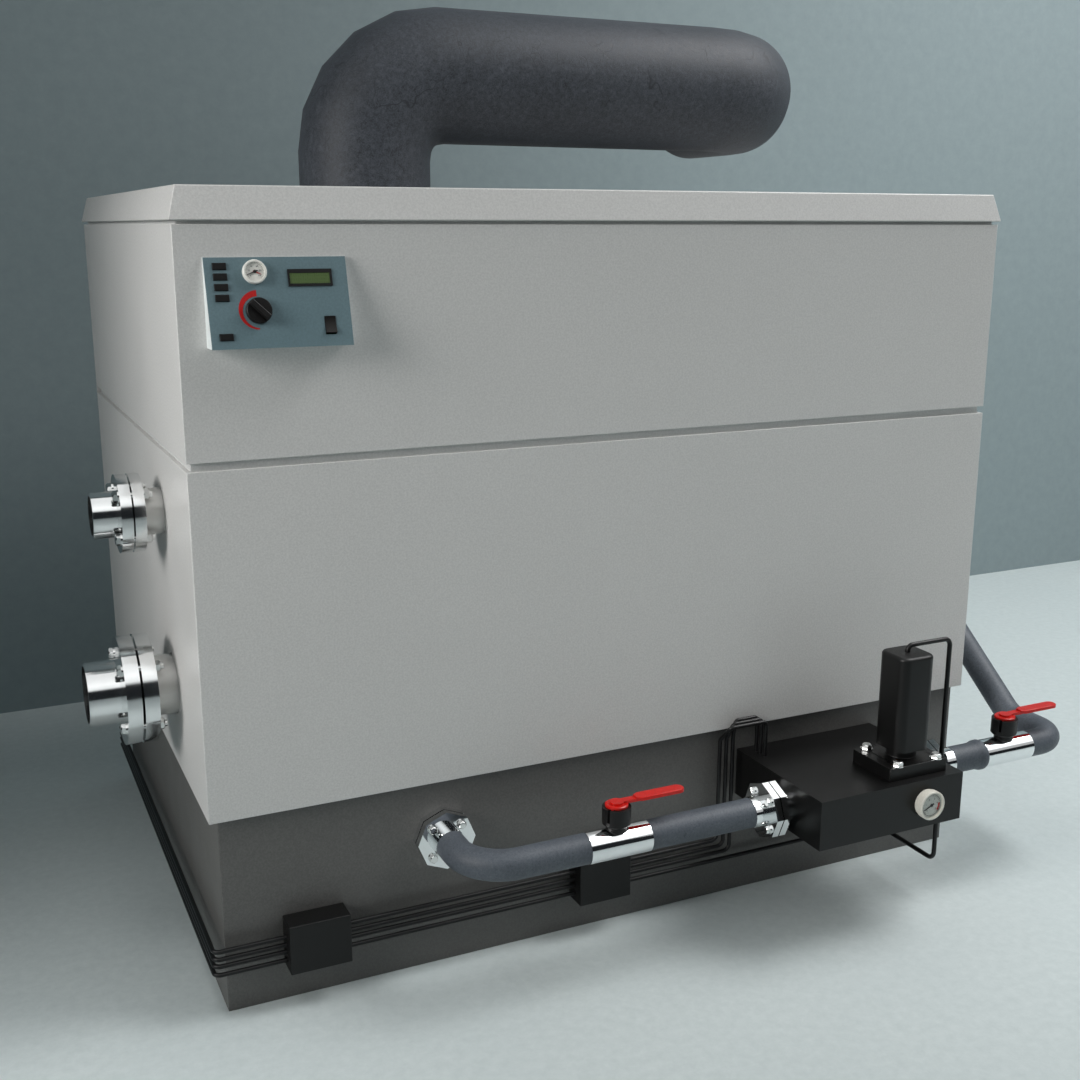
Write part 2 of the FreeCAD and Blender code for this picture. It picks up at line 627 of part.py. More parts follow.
save("flange_gaskets", upper_gasket, lower_gasket,
     oct_gasket(feed_gasket_at, BACK),
     oct_gasket(outlet_gasket_at, RIGHT),
     oct_gasket(inlet_gasket_at, RIGHT))
save("gas_flange_bolts", *plinth_bolts(),
     *oct_bolts((OUTLET_X, RUN_Y, RUN_Z), RIGHT),
     *oct_bolts((INLET_X + PAIR_T, SUPPLY_Y, SUPPLY_Z), LEFT))

# ============================================================ pipes and valves
VALVE_L = 107.0
FEED_VALVE = (-156.0, RUN_Y, RUN_Z)         # left end of each valve's axis
SUPPLY_VALVE = (651.0, SUPPLY_Y, SUPPLY_Z)
SOCKET_L = 14.0                             # depth of the valve sockets
VALVE_R, VALVE_SOCKET_R = 25.5, 24.2
BALL_R, BALL_BORE, STEM_R = 22.0, 16.0, 6.0
STEM_TIP_R = 4.0
HOUSING_R, HOUSING_BORE, HOUSING_TOP = 22.8, 17.0, 61.0


def burner_feed_elbow():
    return pipe_sweep([(FEED_X, FEED_OUTER_Y, FEED_Z), (FEED_X, RUN_Y, RUN_Z),
                       (FEED_VALVE[0] + SOCKET_L, RUN_Y, RUN_Z)], 72)


def burner_feed_pipe():
    start_x = FEED_VALVE[0] + VALVE_L - SOCKET_L
    return tube((start_x, RUN_Y, RUN_Z), RIGHT, PIPE_R, PIPE_BORE, OUTLET_X - start_x)


def supply_nipple():
    """Short pipe with a collar against the supply valve."""
    start_x, valve_x = INLET_X + PAIR_T, SUPPLY_VALVE[0]
    length = valve_x + SOCKET_L - start_x
    return cut(fuse(cyl((start_x, SUPPLY_Y, SUPPLY_Z), RIGHT, PIPE_R, length),
                    cone((valve_x - 19, SUPPLY_Y, SUPPLY_Z), RIGHT, PIPE_R, 27, 9),
                    cyl((valve_x - 10, SUPPLY_Y, SUPPLY_Z), RIGHT, 27, 7),
                    cone((valve_x - 3, SUPPLY_Y, SUPPLY_Z), RIGHT, 27, 25.5, 3)),
               cyl((start_x - 1, SUPPLY_Y, SUPPLY_Z), RIGHT, PIPE_BORE, length + 2))


def supply_pipe():
    """From the valve round to the rear, climbing on the way; turned rear end."""
    x, top_z, end_y = 840.0, 450.0, 486.0
    turned_r, turned_l = 23.8, 40.0
    climb_y0 = -481.0
    climb_y1 = climb_y0 + (top_z - SUPPLY_Z) / math.tan(math.radians(38.1))
    pipe = pipe_sweep([(SUPPLY_VALVE[0] + VALVE_L - SOCKET_L, SUPPLY_Y, SUPPLY_Z),
                       (x, SUPPLY_Y, SUPPLY_Z), (x, climb_y0, SUPPLY_Z),
                       (x, climb_y1, top_z), (x, end_y, top_z)], [48, 60, 60])
    return pipe.cut(tube((x, end_y + 1, top_z), FRONT, PIPE_R + 5, turned_r, turned_l + 1))


def valve_body(x0, y, z):
    x1, centre_x = x0 + VALVE_L, x0 + VALVE_L / 2
    return cut(cyl((x0, y, z), RIGHT, VALVE_R, VALVE_L),
               cyl((x0 - 1, y, z), RIGHT, VALVE_SOCKET_R, SOCKET_L + 1),
               cyl((x1 - SOCKET_L, y, z), RIGHT, VALVE_SOCKET_R, SOCKET_L + 1),
               cyl((x0, y, z), RIGHT, BALL_BORE, VALVE_L),
               Part.makeSphere(BALL_R + 0.1, Vector(centre_x, y, z)),
               cyl((centre_x, y, z), UP, STEM_R + 0.05, 40))


def valve_housing(x0, y, z):
    """Cup around the stem, with a notch on its left side."""
    x = x0 + VALVE_L / 2
    return cut(fuse(cyl((x, y, z + 12), UP, 16.5, 22),
                    cone((x, y, z + 30), UP, 19.5, HOUSING_R, 3.5),
                    cyl((x, y, z + 33.5), UP, HOUSING_R, HOUSING_TOP - 33.5)),
               cyl((x, y, z + 36), UP, HOUSING_BORE, 40),
               cyl((x, y, z), UP, STEM_R + 0.05, 60),
               cyl((x0, y, z), RIGHT, VALVE_R, VALVE_L),
               box(x - 30, x - 10, y - 13, y - 9, z + 40, z + 70))


def valve_stem(x0, y, z):
    """Drilled ball with its stem."""
    x = x0 + VALVE_L / 2
    ball = fuse(Part.makeSphere(BALL_R, Vector(x, y, z)), cyl((x, y, z + 15), UP, STEM_R, 31))
    ball = cut(ball, cyl((x0, y, z), RIGHT, BALL_BORE, VALVE_L))
    return fuse(ball, cyl((x, y, z + 40), UP, STEM_TIP_R, 26))


def valve_lever(x0, y, z):
    """Hub, narrow arm and a broad grip with a rounded tip, pointing right."""
    x = x0 + VALVE_L / 2
    hub = fuse(cyl((x, y, z + 51), UP, 16.0, 11),
               cyl((x, y, z + 61.6), UP, 18.2, 3.0),
               cone((x, y, z + 64.6), UP, 18.2, 16.6, 1.2))
    arm = fuse(box(x, x + 40, y - 6.5, y + 6.5, z + 64.5, z + 69),
               cyl((x, y, z + 64.5), UP, 11.0, 4.5))
    grip_z, grip_t, half_w, tip_x = z + 65.8, 6, 11, x + 108
    outline = [(x + 32, y - 6.5), (x + 40, y - half_w), (tip_x, y - half_w),
               (tip_x, y + half_w), (x + 40, y + half_w), (x + 32, y + 6.5)]
    grip = fuse(prism([(px, py, grip_z) for px, py in outline], (0, 0, grip_t)),
                cyl((tip_x, y, grip_z), UP, half_w, grip_t))
    lever = fuse(hub, arm, grip)
    lever = cut(lever, cyl((x, y, z + 50), UP, STEM_TIP_R + 0.05, 16.3))
    # the lever stays sharp-edged if the fillet of the grip's top edge fails
    try:
        edges = [e for e in lever.Edges
                 if e.BoundBox.ZMin > grip_z + 5.9 and e.BoundBox.XMax > x + 34]
        lever = lever.makeFillet(1.8, edges)
    except Exception:
        pass
    return lever


save("burner_feed_elbow", burner_feed_elbow())
save("burner_feed_pipe", burner_feed_pipe())
save("supply_nipple", supply_nipple())
save("supply_pipe", supply_pipe())
save("valve_bodies", valve_body(*FEED_VALVE), valve_body(*SUPPLY_VALVE))
save("valve_stem_housings", valve_housing(*FEED_VALVE), valve_housing(*SUPPLY_VALVE))
for name, place in (("burner", FEED_VALVE), ("supply", SUPPLY_VALVE)):
    save(name + "_valve_stem", valve_stem(*place))
    save(name + "_valve_lever", valve_lever(*place))

# ======================================================= gas block and actuator
ACT_X, ACT_Y = 418.6, -657.6                # actuator axis
BASE_TOP = 291.0                            # top of the actuator's base plate
BASE_BOLTS = [(x, y) for x in (378.5, 458.5) for y in (-698.0, -618.0)]
COVER_SIDE, COVER_R, COVER_Z0, COVER_Z1 = 67.5, 16.0, 306.0, 470.0
GAUGE_X, GAUGE_Z, GAUGE_R, GAUGE_H = 422.0, 228.0, 25.0, 18.0


def gas_block():
    """Block with its drilled passages, valve seat and tapped holes."""
    return cut(box(*BLOCK),
               cyl((BLOCK_X1 + 1, SUPPLY_Y, SUPPLY_Z), LEFT, PIPE_BORE, 100),
               cyl((ACT_X, SUPPLY_Y - 3.5, 232), FRONT, 12, SUPPLY_Y - 3.5 - ACT_Y),
               cyl((ACT_X, ACT_Y, 218), UP, 28, 60),
               cyl((ACT_X, ACT_Y, 193), UP, 14, 30),
               cyl((ACT_X, ACT_Y, 205), LEFT, 9.5, ACT_X - 346),
               cyl((350, ACT_Y - 14, 205), BACK, 10.5, RUN_Y - ACT_Y + 17),
               cyl((BLOCK_X0 - 1, RUN_Y, RUN_Z), RIGHT, PIPE_BORE, 158),
               cyl((GAUGE_X, BLOCK_FRONT - 1, GAUGE_Z), BACK, 4.05, 46),
               *[cyl((x, y, BLOCK_TOP - 18), UP, 4.05, 30) for x, y in BASE_BOLTS])


def actuator_base():
    base = fuse(box(357.0, 475.0, -706.0, -610.0, BLOCK_TOP, BASE_TOP),
                cyl((ACT_X, ACT_Y, BASE_TOP), UP, 25, COVER_Z0 - BASE_TOP))
    return cut(base, cyl((ACT_X, ACT_Y, 260), UP, 6.06, 60),
               *[cyl((x, y, 260), UP, 4.3, 40) for x, y in BASE_BOLTS])


def base_bolt(x, y):
    return fuse(cyl((x, y, BLOCK_TOP - 16), UP, 4.0, BASE_TOP - BLOCK_TOP + 17),
                *hex_head((x, y, BASE_TOP), UP, 15.5, 7, 10.5, 1.6))


def rounded_column(side, radius, z0, z1):
    """Square column on the actuator's axis with rounded upright edges."""
    half = side / 2
    column = box(ACT_X - half, ACT_X + half, ACT_Y - half, ACT_Y + half, z0, z1)
    return column.makeFillet(radius, [e for e in column.Edges
                                      if abs(e.BoundBox.ZLength - (z1 - z0)) < 1e-3])


def actuator_cover():
    cover = rounded_column(COVER_SIDE, COVER_R, COVER_Z0, COVER_Z1)
    cover = cover.makeFillet(6, [e for e in cover.Edges if e.BoundBox.ZMin > COVER_Z1 - 0.1])
    return cover.cut(rounded_column(COVER_SIDE - 6, COVER_R - 3, COVER_Z0 - 1, COVER_Z1 - 6))


def actuator_coil():
    return cut(fuse(cyl((ACT_X, ACT_Y, COVER_Z0), UP, 29, 6),
                    cyl((ACT_X, ACT_Y, COVER_Z0 + 6), UP, 27, 112),
                    cyl((ACT_X, ACT_Y, COVER_Z0 + 118), UP, 29, 6)),
               cyl((ACT_X, ACT_Y, COVER_Z0 - 1), UP, 13.5, 110))


def actuator_core():
    """Valve disc, rod and plunger."""
    return fuse(cyl((ACT_X, ACT_Y, 218), UP, 20, 7),
                cyl((ACT_X, ACT_Y, 220), UP, 6, 112),
                cyl((ACT_X, ACT_Y, 330), UP, 12, 70))


def closing_spring():
    """Five turns between the disc and the base plate, ten points per turn."""
    points = []
    for i in range(51):
        angle = math.radians(36 * i)
        points.append((ACT_X + 13.65 * math.cos(angle), ACT_Y + 13.65 * math.sin(angle),
                       226.1 + 0.815 * i))
    return sweep(points, 12.4, 1.0)


def gauge_case():
    """Round case on the block's front, with a threaded stub into the block."""
    face_y = BLOCK_FRONT - GAUGE_H
    case = fuse(cyl((GAUGE_X, BLOCK_FRONT, GAUGE_Z), FRONT, GAUGE_R - 2, GAUGE_H - 4),
                cyl((GAUGE_X, BLOCK_FRONT - 6, GAUGE_Z), FRONT, GAUGE_R, GAUGE_H - 6),
                cyl((GAUGE_X, BLOCK_FRONT, GAUGE_Z), BACK, 4.0, 40))
    case = case.makeFillet(2.0, [e for e in case.Edges if e.BoundBox.YMax < face_y + 0.1])
    return cut(case, cyl((GAUGE_X, face_y - 1, GAUGE_Z), BACK, 21.6, 5.5),
               cyl((GAUGE_X, face_y, GAUGE_Z), BACK, 1.05, 9))


def gauge_needle():
    dial_y = BLOCK_FRONT - GAUGE_H + 4.5
    blade = [(-1.1, -5), (1.1, -5), (0.5, 16), (-0.5, 16)]     # x, z from the axis
    needle = fuse(cyl((GAUGE_X, dial_y - 1.6, GAUGE_Z), BACK, 2.6, 1.2),
                  cyl((GAUGE_X, dial_y - 1.4, GAUGE_Z), BACK, 1.0, 4),
                  prism([(GAUGE_X + x, dial_y - 1.3, GAUGE_Z + z) for x, z in blade],
                        (0, 0.7, 0)))
    needle.rotate(Vector(GAUGE_X, dial_y, GAUGE_Z), Vector(0, 1, 0), -115)
    return needle


save("gas_block", gas_block())
save("actuator_base", actuator_base())
save("actuator_base_bolts", *[base_bolt(x, y) for x, y in BASE_BOLTS])
save("actuator_cover", actuator_cover())
save("actuator_coil", actuator_coil())
save("actuator_core", actuator_core())
save("closing_spring", closing_spring())
save("gauge_case", gauge_case())
save("gauge_needle", gauge_needle())

# =================================================== junction boxes and conduits
JUNCTION_XS = ((-598.0, -503.0), (-114.0, -20.0))
JUNCTION_Y, JUNCTION_Z0, JUNCTION_Z1 = -521.0, 61.0, 140.0
CONDUIT_R = 3.5
CONDUIT_X, CONDUIT_Y = -706.0, -499.0       # runs along the left side and the front
CONDUIT_ZS = (76.0, 90.0, 101.5, 114.0)
# upper three conduits: x of the rise, y of the drop into the gas block
CONDUIT_RISES = ((188.0, -499.0), (175.0, -512.0), (162.0, -525.0))
CONDUIT_END_X = 504.0                       # the lowest conduit meets the cable here


def junction_block(x0, x1):
    return box(x0, x1, JUNCTION_Y, -PLINTH_Y, JUNCTION_Z0, JUNCTION_Z1)


def junction_box(x0, x1):
    shell = junction_block(x0, x1)
    # the box stays sharp-edged if the fillet of its front fails
    try:
        shell = shell.makeFillet(1.5, [e for e in shell.Edges
                                       if e.BoundBox.YMin < JUNCTION_Y + 1])
    except Exception:
        pass
    return shell.cut(box(x0 + 2.5, x1 - 2.5, JUNCTION_Y + 3, -PLINTH_Y - 3,
                         JUNCTION_Z0 + 2.5, JUNCTION_Z1 - 2.5))


def conduits():
    """Four conduits, interrupted by the junction boxes."""
    pieces = []
    for i, z in enumerate(CONDUIT_ZS):
        points = [(CONDUIT_X, 484.0, z), (CONDUIT_X, CONDUIT_Y, z)]
        radii = [10.0]
        if i == 0:
            points.append((508.0, CONDUIT_Y, z))
        else:
            rise_x, drop_y = CONDUIT_RISES[i - 1]
            points += [(rise_x, CONDUIT_Y, z), (rise_x, CONDUIT_Y, 300.0),
                       (rise_x + 4.0, drop_y, 330.0), (237.0, drop_y, 330.0),
                       (237.0, drop_y, BLOCK_TOP)]
            radii += [12.0, 10.0, 7.0, 8.0]
        run = sweep(points, radii, CONDUIT_R)
        for xs in JUNCTION_XS:
            run = run.cut(junction_block(*xs))
        pieces += run.Solids
    end = cyl((CONDUIT_END_X, CONDUIT_Y, CONDUIT_ZS[0]), RIGHT, 6, 10)
    return [piece.cut(end) if piece.distToShape(end)[0] < 0.01 else piece for piece in pieces]


def actuator_cable():
    """From the actuator's top down to the lowest conduit's end, closing it."""
    x, top_z, low_z = 508, COVER_Z1 + 11, CONDUIT_ZS[0]
    cable = sweep([(ACT_X, ACT_Y, COVER_Z1), (ACT_X, ACT_Y, top_z), (x, ACT_Y, top_z),
                   (x, ACT_Y, low_z), (x, CONDUIT_Y + CONDUIT_R + 0.5, low_z)],
                  [9, 12, 14], 4.0)
    return cable.cut(cyl((480, CONDUIT_Y, low_z), RIGHT, 6, CONDUIT_END_X - 480))


save("junction_boxes", *[junction_box(*xs) for xs in JUNCTION_XS])
save("conduits", *conduits(), actuator_cable())

# ================================================================ control panel
# Local frame of the sloping face: x right, y up the slope, z out of it, origin
# at the face's top left corner.  Places on the face are x and the vertical
# distance down from its top edge.
TOP_DEPTH, BOTTOM_DEPTH, FACE_T = 5.0, 35.0, 2.0
PANEL_W, PANEL_H = PANEL_X1 - PANEL_X0, PANEL_Z1 - PANEL_Z0
SLOPE_RUN = BOTTOM_DEPTH - TOP_DEPTH
SLOPE_L = math.hypot(PANEL_H, SLOPE_RUN)
SLOPE = SLOPE_L / PANEL_H
face_x = Vector(1, 0, 0)
face_y = Vector(0, SLOPE_RUN / SLOPE_L, PANEL_H / SLOPE_L)
face_z = face_x.cross(face_y)
FACE = FreeCAD.Placement(FreeCAD.Matrix(
    face_x.x, face_y.x, face_z.x, PANEL_X0,
    face_x.y, face_y.y, face_z.y, -HALF_D - TOP_DEPTH,
    face_x.z, face_y.z, face_z.z, PANEL_Z1,
    0, 0, 0, 1))

BUTTON_X, BUTTON_SIZE, BUTTON_PROUD = 20.0, (18.0, 9.0), 2.0
MENU_BUTTONS = [(BUTTON_X, down) for down in (11.7, 25.1, 38.5, 52.3)]
RESET_BUTTON = (20.3, 102.4)
DISPLAY_AT, DISPLAY_W, DISPLAY_H = (140.25, 27.65), 60.7, 23.2
THERMO_AT, THERMO_R = (65.3, 19.7), 16.0
KNOB_AT, KNOB_R = (66.1, 69.7), 17.3
ROCKER_AT, ROCKER_W, ROCKER_H = (162.2, 90.65), 15.0, 23.4
ROCKER_PIVOT = -5.0                         # level of the pivot


def on_face(shape):
    shape = shape.copy()
    shape.Placement = FACE.multiply(shape.Placement)
    return shape


def face_point(place, level=0):
    x, down = place
    return Vector(x, -down * SLOPE, level)


def face_box(place, width, height, level0, level1):
    x, y, _ = face_point(place)
    return box(x - width / 2, x + width / 2, y - height / 2, y + height / 2, level0, level1)


def face_cyl(place, radius, level0, level1):
    return cyl(face_point(place, level0), UP, radius, level1 - level0)


def top_edges(shape, level):
    return [e for e in shape.Edges if e.BoundBox.ZMin > level - 0.1]


def panel_wedge():
    front_y = -HALF_D
    return prism([(PANEL_X0, front_y, PANEL_Z0), (PANEL_X0, front_y, PANEL_Z1),
                  (PANEL_X0, front_y - TOP_DEPTH, PANEL_Z1),
                  (PANEL_X0, front_y - BOTTOM_DEPTH, PANEL_Z0)], (PANEL_W, 0, 0))


def face_slab():
    """Everything from the face plate's back outwards."""
    return on_face(box(-5, PANEL_W + 5, -SLOPE_L - 40, 40, -FACE_T, 60))


def panel_housing():
    x, z0, z1 = PANEL_X0 + 3, PANEL_Z0 + 3, PANEL_Z1 - 2
    hollow = prism([(x, -HALF_D + 1, z0), (x, -HALF_D + 1, z1),
                    (x, -HALF_D - 30, z1), (x, -HALF_D - 60, z0)], (PANEL_W - 6, 0, 0))
    return panel_wedge().cut(face_slab()).cut(hollow)


def panel_face():
    """Face plate with its openings and two lugs for the rocker's pivot."""
    rocker_x, rocker_down = ROCKER_AT
    lug_offset = ROCKER_W / 2 + 1.9
    lugs = [on_face(face_box((rocker_x + side * lug_offset, rocker_down), 2.0, 8,
                             -9, -FACE_T + 0.01)) for side in (-1, 1)]
    plate = fuse(panel_wedge().common(face_slab()), *lugs)
    openings = [(place, BUTTON_SIZE[0] + 0.6, BUTTON_SIZE[1] + 0.6)
                for place in MENU_BUTTONS + [RESET_BUTTON]]
    openings += [(DISPLAY_AT, DISPLAY_W - 3, DISPLAY_H - 3),
                 (ROCKER_AT, ROCKER_W + 0.8, ROCKER_H + 1.8)]
    pivot_start = face_point((rocker_x - 20, rocker_down), ROCKER_PIVOT)
    return cut(plate,
               *[on_face(face_box(*opening, -20, 5)) for opening in openings],
               on_face(face_cyl(THERMO_AT, 4.1, -20, 5)),
               on_face(face_cyl(KNOB_AT, 3.08, -20, 5)),
               on_face(cyl(pivot_start, RIGHT, 1.55, 40)))


def display_module():
    module = fuse(face_box(DISPLAY_AT, DISPLAY_W, DISPLAY_H, 0, 1.6),
                  face_box(DISPLAY_AT, DISPLAY_W - 3.4, DISPLAY_H - 3.4, -6, 0.5))
    window_at = (DISPLAY_AT[0] - 0.35, DISPLAY_AT[1] + 0.8)
    return module.cut(face_box(window_at, 55.4, 14.4, 0.6, 5))


def thermometer_case():
    case = fuse(face_cyl(THERMO_AT, THERMO_R, 0, 7.0), face_cyl(THERMO_AT, 4.0, -8, 0.5))
    case = case.makeFillet(1.5, top_edges(case, 7.0))
    return cut(case, face_cyl(THERMO_AT, 13.2, 4.2, 20), face_cyl(THERMO_AT, 0.85, 1.5, 20))


def thermometer_needle():
    """Tapered pointer on the dial's axis."""
    blade = [(-4, -0.9), (11.5, -0.35), (11.5, 0.35), (-4, 0.9)]    # x, y from the axis
    centre = face_point(THERMO_AT)
    needle = fuse(face_cyl(THERMO_AT, 2.2, 4.8, 6.0), face_cyl(THERMO_AT, 0.8, 2.0, 5.0))
    needle = fuse(needle, prism([centre + Vector(x, y, 5.0) for x, y in blade], (0, 0, 0.6)))
    needle.rotate(centre, Vector(0, 0, 1), 201)
    return needle


def thermostat_knob():
    """Disc with a diagonal grip ridge and a shaft."""
    disc = face_cyl(KNOB_AT, KNOB_R, 0.6, 7.0)
    disc = disc.makeChamfer(1.2, top_edges(disc, 7.0))
    ridge = face_box(KNOB_AT, 9.0, 2 * KNOB_R - 3, 6.0, 14.0)
    ridge = ridge.makeChamfer(1.6, top_edges(ridge, 14.0))
    ridge = ridge.common(face_cyl(KNOB_AT, KNOB_R - 0.6, 0, 30))
    ridge.rotate(face_point(KNOB_AT), Vector(0, 0, 1), 45)
    return fuse(disc, ridge, face_cyl(KNOB_AT, 3.0, -18, 1))


def rocker_switch():
    """Rocker on a pivot behind the face, tilted as with one side pressed."""
    # y from the pivot, level
    profile = [(-11.2, 2.6), (0, 0.6), (11.2, 2.6), (11.2, -2.0),
               (4.5, -8.0), (-4.5, -8.0), (-11.2, -2.0)]
    x, y, _ = face_point(ROCKER_AT)
    left = x - ROCKER_W / 2
    rocker = prism([(left, y + dy, level) for dy, level in profile], (ROCKER_W, 0, 0))
    rocker = fuse(rocker, cyl((left - 3.0, y, ROCKER_PIVOT), RIGHT, 1.5, ROCKER_W + 6.0))
    rocker.rotate(Vector(x, y, ROCKER_PIVOT), Vector(1, 0, 0), -6.0)
    return rocker


def button(place):
    """Push button with a retaining rim behind the face plate."""
    width, height = BUTTON_SIZE
    cap = face_box(place, width, height, -3.6, BUTTON_PROUD)
    cap = cap.makeFillet(0.6, top_edges(cap, BUTTON_PROUD))
    return fuse(cap, face_box(place, width + 1.8, height + 1.8, -3.8, -FACE_T - 0.2))


def control_board():
    """Board inside the jacket, on four spacers behind the panel."""
    x0, x1, z0, z1 = PANEL_X0 + 2, PANEL_X1 - 2, PANEL_Z0 - 12, PANEL_Z1 + 12
    back_y = -478.4
    # components on the rear side: x0, x1 from the left edge, rear y, z0, z1
    components = [(15, 65, -440, z0 + 12, z0 + 57),
                  (80, 100, -460, z0 + 15, z0 + 45),
                  (108, 128, -460, z0 + 15, z0 + 45),
                  (136, 176, -468, z0 + 12, z0 + 24),
                  (30, 50, -475, z1 - 50, z1 - 30),
                  (90, 160, -466, z1 - 30, z1 - 18)]
    return fuse(box(x0, x1, -480, back_y, z0, z1),
                *[cyl((x, -HALF_D + SHEET, z), BACK, 3, 9.1)
                  for x in (x0 + 5, x1 - 5) for z in (z0 + 4, z1 - 4)],
                *[box(x0 + left, x0 + right, back_y, rear, low, high)
                  for left, right, rear, low, high in components])


save("panel_housing", panel_housing())
save("panel_face", panel_face())
save("display_module", on_face(display_module()))
save("thermometer_case", on_face(thermometer_case()))
save("thermometer_needle", on_face(thermometer_needle()))
save("thermostat_knob", on_face(thermostat_knob()))
save("rocker_switch", on_face(rocker_switch()))
for number, place in enumerate(MENU_BUTTONS, 1):
    save("menu_button_%d" % number, on_face(button(place)))
save("reset_button", on_face(button(RESET_BUTTON)))
save("control_board", control_board())
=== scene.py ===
# A floor-standing gas boiler with its pipework, gas valves, gauge and sloping control panel.
# Metres, +Z up, floor at z = 0. The front faces -Y, and +X is to the right seen from there.
# The CAD pieces get materials and softened edges. Thin dial and display pieces are added here.
import math
import bmesh
import bpy
from mathutils import Matrix, Vector


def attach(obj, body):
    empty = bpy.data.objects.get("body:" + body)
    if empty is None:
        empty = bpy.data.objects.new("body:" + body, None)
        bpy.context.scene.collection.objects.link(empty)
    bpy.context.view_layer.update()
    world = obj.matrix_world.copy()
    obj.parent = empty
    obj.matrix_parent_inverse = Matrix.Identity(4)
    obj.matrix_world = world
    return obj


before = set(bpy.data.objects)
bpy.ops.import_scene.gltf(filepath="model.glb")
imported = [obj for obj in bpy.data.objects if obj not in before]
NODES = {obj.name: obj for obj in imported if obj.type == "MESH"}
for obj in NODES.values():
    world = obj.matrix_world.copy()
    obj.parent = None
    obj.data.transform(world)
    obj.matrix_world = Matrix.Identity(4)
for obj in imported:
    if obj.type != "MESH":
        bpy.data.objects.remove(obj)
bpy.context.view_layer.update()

scene = bpy.context.scene
scene.view_settings.view_transform = "Standard"
scene.view_settings.look = "None"
scene.view_settings.exposure = 0.0


# ------------------------------------------------------- material builder
MID = (0.3, 0.7)  # the part of a noise texture's output that carries most of its variation


def linear(rgb):
    """sRGB 0-255 to linear RGBA."""
    out = []
    for value in rgb:
        value = value / 255.0
        out.append(value / 12.92 if value <= 0.04045 else ((value + 0.055) / 1.055) ** 2.4)
    return (*out, 1.0)


def fill_ramp(node, stops):
    """Sets a colour ramp's stops: (position, RGBA)."""
    elements = node.color_ramp.elements
    while len(elements) < len(stops):
        elements.new(0.5)
    for element, (position, color) in zip(elements, stops):
        element.position = position
        element.color = color


